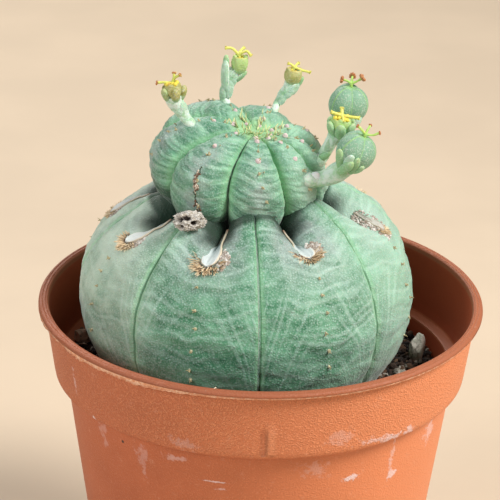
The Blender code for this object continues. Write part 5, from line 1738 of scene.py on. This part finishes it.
ANTHER_POLLEN = (0.74, 0.62, 0.070)
ANTHER_SPENT = (0.40, 0.20, 0.05)


def style_look(place):
    age, run = read(place, "age"), read(place, "run")
    mottle = grain(place, 1.4, 3.0, 0.6)
    tone = paint(
        age.smooth(0.3, 0.8).mix(STYLE_YELLOW, STYLE_GREEN),
        (run.smooth(0.3, 0.0) * 0.5, STYLE_GREEN),
        (mottle.smooth(0.5, 0.7) * 0.4, STYLE_GOLD),
        (run.smooth(0.88, 1.0) * age.smooth(0.05, 0.5), STYLE_RUST),
    )
    return {"Base Color": tone, "Roughness": 0.5 - mottle * 0.05, "Height": mottle * 0.15}


def tip_look(place):
    tint, mottle = read(place, "tint"), grain(place, 2.0, 3.0, 0.6)
    tone = tint.smooth(0.2, 0.7).mix(STYLE_YELLOW, STYLE_RUST)
    tone = (mottle.smooth(0.5, 0.65) * 0.5).mix(tone, TIP_AMBER)
    return {"Base Color": tone, "Roughness": mottle * 0.1 + 0.55, "Height": mottle * 0.2}


def anther_look(place):
    tint, tip = read(place, "tint"), read(place, "tip")
    tone = tip.smooth(0.35, 0.60).mix(ANTHER_STEM, ANTHER_POLLEN)
    tone = (tint.smooth(0.7, 0.9) * tip.smooth(0.4, 0.6) * 0.7).mix(tone, ANTHER_SPENT)
    return {"Base Color": tone, "Roughness": tip * 0.1 + 0.6}


runs, ages, knobs = [], [], []
draw = random.Random(53)
for _, foot, fork, age, wide, knob, arms in STYLES:
    foot, fork = Vector(foot), Vector(fork)
    for bend, tip in arms:
        bend, tip = Vector(bend), Vector(tip)
        stem = [(*foot, wide * 1.4), (*foot.lerp(fork, 0.6), wide * 1.1), (*fork, wide * 1.1)]
        run = stem + [(*bend, wide * 0.9), (*tip.lerp(bend, 0.2), wide), (*tip, wide * 0.8)]
        runs.append(run)
        ages += [age] * len(run)
        way = (tip - bend).normalized()
        for i in range(KNOBS_PER_TIP):
            out = around(way, math.tau * i / KNOBS_PER_TIP + 0.3)
            lie = (way * draw.uniform(-0.2, 1.0) + out).normalized()
            size = knob * draw.uniform(0.18, 0.27) * MM
            place = (tip + out * 0.16 * knob - way * 0.1) * MM
            shape = (size, size * 0.8, size * 1.9)
            knobs.append((place, lie, way, shape, min(1.0, age + draw.uniform(0.0, 0.35))))
mesh = lines_mesh(runs)
label_points(mesh, "age", ages)
style_flesh = finish_of("style_flesh", style_look, Subsurface_Weight=0.1, Subsurface_Scale=0.001)
styles = grow("style_arms", mesh, sweep_tube, style_flesh, 60, Steps=22, Sides=12, Waver=0.00016)
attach(styles, "root")
knob_rings = ((0.6, -0.1), (1.0, 0.3), (0.9, 0.7), (0.4, 1.0))
frills = planted("style_tips", knobs, form_of("frill", knob_rings, 7), finish_of("style_tip", tip_look))
anther_rings = ((0.10, -0.2), (0.10, 0.55), (0.34, 0.62), (0.42, 0.80), (0.30, 0.98), (0.08, 1.05))
stamens = planted("anthers", anthers, form_of("anther", anther_rings, 8),
                  finish_of("anther_dust", anther_look))
for piece in (styles, frills, stamens):
    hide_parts(*[name for name, *_ in STYLES])

# The potting soil
# Dark, moist peat with grit and broken bark fills the pot to a finger's width below the rim, and is pressed
# round the plant. Loose crumbs of it and small grit lie on top.
SOIL_GRAINS = 5200
GRIT_GRAINS = 900
# The ring that grains are strewn on, the height that they drop from and the lowest place that they stay on
SOIL_INNER = 25.5
SOIL_OUTER = 40.5
GRAINS_FROM = 75.0
GRAINS_LOWEST = 55.0
SOIL_BLACK = (0.010, 0.007, 0.006)
SOIL_BROWN = (0.045, 0.026, 0.017)
BARK_BROWN = (0.20, 0.12, 0.07)
CRUMB_TAN = (0.15, 0.08, 0.040)
CRUMB_DUST = (0.09, 0.06, 0.04)
GRIT_GREY = (0.25, 0.24, 0.20)
GRIT_PALE = (0.52, 0.48, 0.42)
GRIT_BRICK = (0.45, 0.24, 0.13)
GRIT_DARK = (0.14, 0.12, 0.09)


def soil_look(place):
    lumps, fine = grain(place, 0.45, 5.0, 0.7), grain(place, 2.2, 3.0, 0.7)
    tone = lumps.smooth(0.35, 0.65).mix(SOIL_BLACK, SOIL_BROWN)
    tone = (fine.smooth(0.58, 0.70) * 0.6).mix(tone, BARK_BROWN)
    return {"Base Color": tone, "Roughness": fine * 0.1 + 0.85, "Height": lumps * 1.2 + fine * 0.3}


def grain_look(place):
    tint, fine = read(place, "tint"), grain(place, 1.8, 3.0, 0.7)
    tone = paint(
        tint.smooth(0.15, 0.60).mix(SOIL_BLACK, SOIL_BROWN),
        (tint.smooth(0.74, 0.97) * 0.8, CRUMB_TAN),
        (fine.smooth(0.5, 0.7) * 0.4, CRUMB_DUST),
    )
    return {"Base Color": tone, "Roughness": fine * 0.1 + 0.84, "Height": fine * 0.3}


def grit_look(place):
    tint, fine = read(place, "tint"), grain(place, 1.6, 4.0, 0.7)
    tone = paint(
        tint.smooth(0.2, 0.8).mix(GRIT_GREY, GRIT_PALE),
        (tint.smooth(0.80, 0.90) * 0.8, GRIT_BRICK),
        (fine.smooth(0.45, 0.65) * 0.6, GRIT_DARK),
    )
    return {"Base Color": tone, "Roughness": fine * 0.1 + 0.75, "Height": fine * 0.4}


def ground_seeds(count, sizes, lift, draw):
    """Grains strewn over the ring of soil that shows between the plant and the pot."""
    seeds = []
    while len(seeds) < count:
        turn, radius = draw.uniform(0, math.tau), draw.uniform(SOIL_INNER, SOIL_OUTER)
        x, y = BALL_X * 0.5 + radius * math.sin(turn), radius * math.cos(turn)
        hit, out, _, _ = soil_tree.ray_cast(Vector((x, y, GRAINS_FROM)) * MM, Vector((0, 0, -1)))
        if hit is None or out.z < 0.3 or hit.z < GRAINS_LOWEST * MM:
            continue
        size = draw.uniform(*sizes) * draw.uniform(0.5, 1.0) * MM
        lie = Vector((draw.uniform(-1, 1), draw.uniform(-1, 1), draw.uniform(0.4, 1.2))).normalized()
        toward = Vector((draw.uniform(-1, 1), draw.uniform(-1, 1), 0.1)).normalized()
        shape = (size, size * draw.uniform(0.5, 1.0), size * draw.uniform(0.4, 0.9))
        seeds.append((hit + Vector((0, 0, draw.uniform(0, lift) * size)), lie, toward, shape, draw.random()))
    return seeds


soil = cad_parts["soil"]
soil.data.materials.clear()
soil.data.materials.append(finish_of("dark_soil", soil_look))
soil_tree = BVHTree.FromObject(soil, bpy.context.evaluated_depsgraph_get())
draw = random.Random(61)
lump_rings = ((0.62, -0.72), (0.98, -0.20), (0.86, 0.38), (0.42, 0.78))
planted("soil_crumbs", ground_seeds(SOIL_GRAINS, (0.5, 1.35), 0.8, draw),
        form_of("soil_crumb", lump_rings, 5), finish_of("soil_crumb", grain_look))
planted("grit", ground_seeds(GRIT_GRAINS, (0.5, 1.3), 1.3, draw), form_of("grit_grain", lump_rings, 6),
        finish_of("grit_grain", grit_look))

# The stones
# A few unwashed stones lie loose on the soil, each one piece of rock: a tan-pink one on the left, a tall pale
# grey-green one on the right with smaller ones at its foot, and others out of sight behind the plant.
STONE_TINTS = {"stone_01": 0.9, "stone_02": 0.1, "stone_03": 0.25, "stone_04": 0.5}
# The tan stone leans out over the ledge of the pot by this much more than its solid
STONE_OVERHANG = {"stone_01": 2.3}
STONE_PLANES = 10
STONE_GREEN = (0.36, 0.40, 0.32)
STONE_PALE = (0.72, 0.71, 0.63)
STONE_PINK = (0.60, 0.36, 0.24)
STONE_DIRT = (0.17, 0.15, 0.11)
STONE_CHALK = (0.78, 0.76, 0.70)


def rock_look(place):
    tint = read(place, "tint")
    cloud, fine = grain(place, 0.28, 5.0, 0.65), grain(place, 1.5, 5.0, 0.7)
    facets = grain(place, 0.5, kind="ShaderNodeTexVoronoi", feature="F1")
    tone = paint(
        cloud.smooth(0.35, 0.62).mix(STONE_GREEN, STONE_PALE),
        (tint.smooth(0.4, 0.9) * (cloud * 0.5 + 0.6), STONE_PINK),
        (fine.smooth(0.52, 0.66) * 0.65, STONE_DIRT),
        (fine.smooth(0.40, 0.28) * 0.5, STONE_CHALK),
    )
    return {"Base Color": tone, "Roughness": fine * 0.15 + 0.68, "Height": fine * 0.5 + facets * 0.25}


def break_rock(bm, name, tint_layer, tint):
    """A broken stone that fills its solid's box, its faces knocked flat by a few planes."""
    low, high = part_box(name)
    low.x -= STONE_OVERHANG.get(name, 0.0) * MM
    middle, half = (low + high) / 2, (high - low) / 2
    start = len(bm.verts)
    bmesh.ops.create_icosphere(bm, subdivisions=5, radius=1.0)
    bm.verts.ensure_lookup_table()
    draw = random.Random(name)
    planes = []
    for _ in range(STONE_PLANES):
        way = Vector([draw.gauss(0, 1) for _ in range(3)]).normalized()
        planes.append((way, draw.uniform(0.60, 0.86)))
    for vert in bm.verts[start:]:
        ray = vert.co.normalized()
        reach = min([1.05] + [level / max(ray.dot(way), 0.05) for way, level in planes])
        reach *= 1 + 0.04 * noise.fractal(ray * 3.0 + planes[0][0] * 9, 0.6, 2.0, 4)
        vert.co = middle + Vector(a * b for a, b in zip(ray * reach, half))
        vert[tint_layer] = tint


bm = bmesh.new()
layer = bm.verts.layers.float.new("tint")
stone_names = sorted(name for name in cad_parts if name.startswith("stone_"))
for i, name in enumerate(stone_names):
    break_rock(bm, name, layer, STONE_TINTS.get(name, (i * 0.37) % 1))
stones = piece_from(bm, "loose_stones", finish_of("broken_stone", rock_look))
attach(stones, "root")
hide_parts(*stone_names)

# The fallen scraps
# Dry scraps of husk and old leaves dropped from the plant and lie loose: a curled cream flake just inside
# the front rim, brown bits on the soil at the left and two more at the right.
SCRAPS = (
    # place, way it points, half width, length, tint
    ((-9.6, -40.6, 77.6), (0.7, 0.1, 0.6), 0.75, 2.2, 0.95),
    ((-11.4, -40.2, 77.2), (-0.8, 0.2, -0.3), 0.35, 1.4, 0.9),
    ((-37.0, 3.0, 66.5), (0.3, -0.6, 0.3), 0.60, 3.0, 0.3),
    ((-37.5, 7.0, 66.8), (0.1, 0.8, 0.2), 0.50, 2.4, 0.2),
    ((-36.5, -1.5, 66.0), (0.4, -0.7, 0.2), 0.50, 2.6, 0.5),
    ((30.5, -6.0, 64.5), (-0.5, 0.4, 0.3), 0.45, 2.0, 0.8),
    ((34.8, -3.4, 64.2), (0.2, 0.8, 0.2), 0.40, 1.8, 0.6),
)
SCRAP_BROWN = (0.16, 0.075, 0.035)
SCRAP_CREAM = (0.78, 0.66, 0.50)
SCRAP_STAIN = (0.30, 0.17, 0.08)


def scrap_look(place):
    tint, mottle = read(place, "tint"), grain(place, 1.3, 4.0, 0.7)
    tone = tint.smooth(0.1, 0.9).mix(SCRAP_BROWN, SCRAP_CREAM)
    tone = (mottle.smooth(0.5, 0.68) * 0.5).mix(tone, SCRAP_STAIN)
    return {"Base Color": tone, "Roughness": mottle * 0.1 + 0.72, "Height": mottle * 0.3}


def scrap_bend(spot):
    """Curls a scrap along its length and makes its edges wavy."""
    wave = 1 + 0.25 * math.sin(spot.z * 9)
    return Vector((spot.x + 0.35 * math.sin(spot.z * 2.6), spot.y * wave, spot.z))


seeds = []
for place, lie, width, length, tint in SCRAPS:
    lie = Vector(lie).normalized()
    side = lie.cross(Vector((0.2, 0.3, 1))).normalized()
    seeds.append((Vector(place) * MM, lie, side.cross(lie), (0.22 * MM, width * MM, length * MM), tint))
scrap_rings = tuple((0.4 + 0.6 * math.sin(math.pi * (0.1 + 0.85 * z)), z) for z in np.linspace(0, 1, 12))
planted("fallen_scraps", seeds, form_of("scrap", scrap_rings, 14, scrap_bend),
        finish_of("dry_scrap", scrap_look))
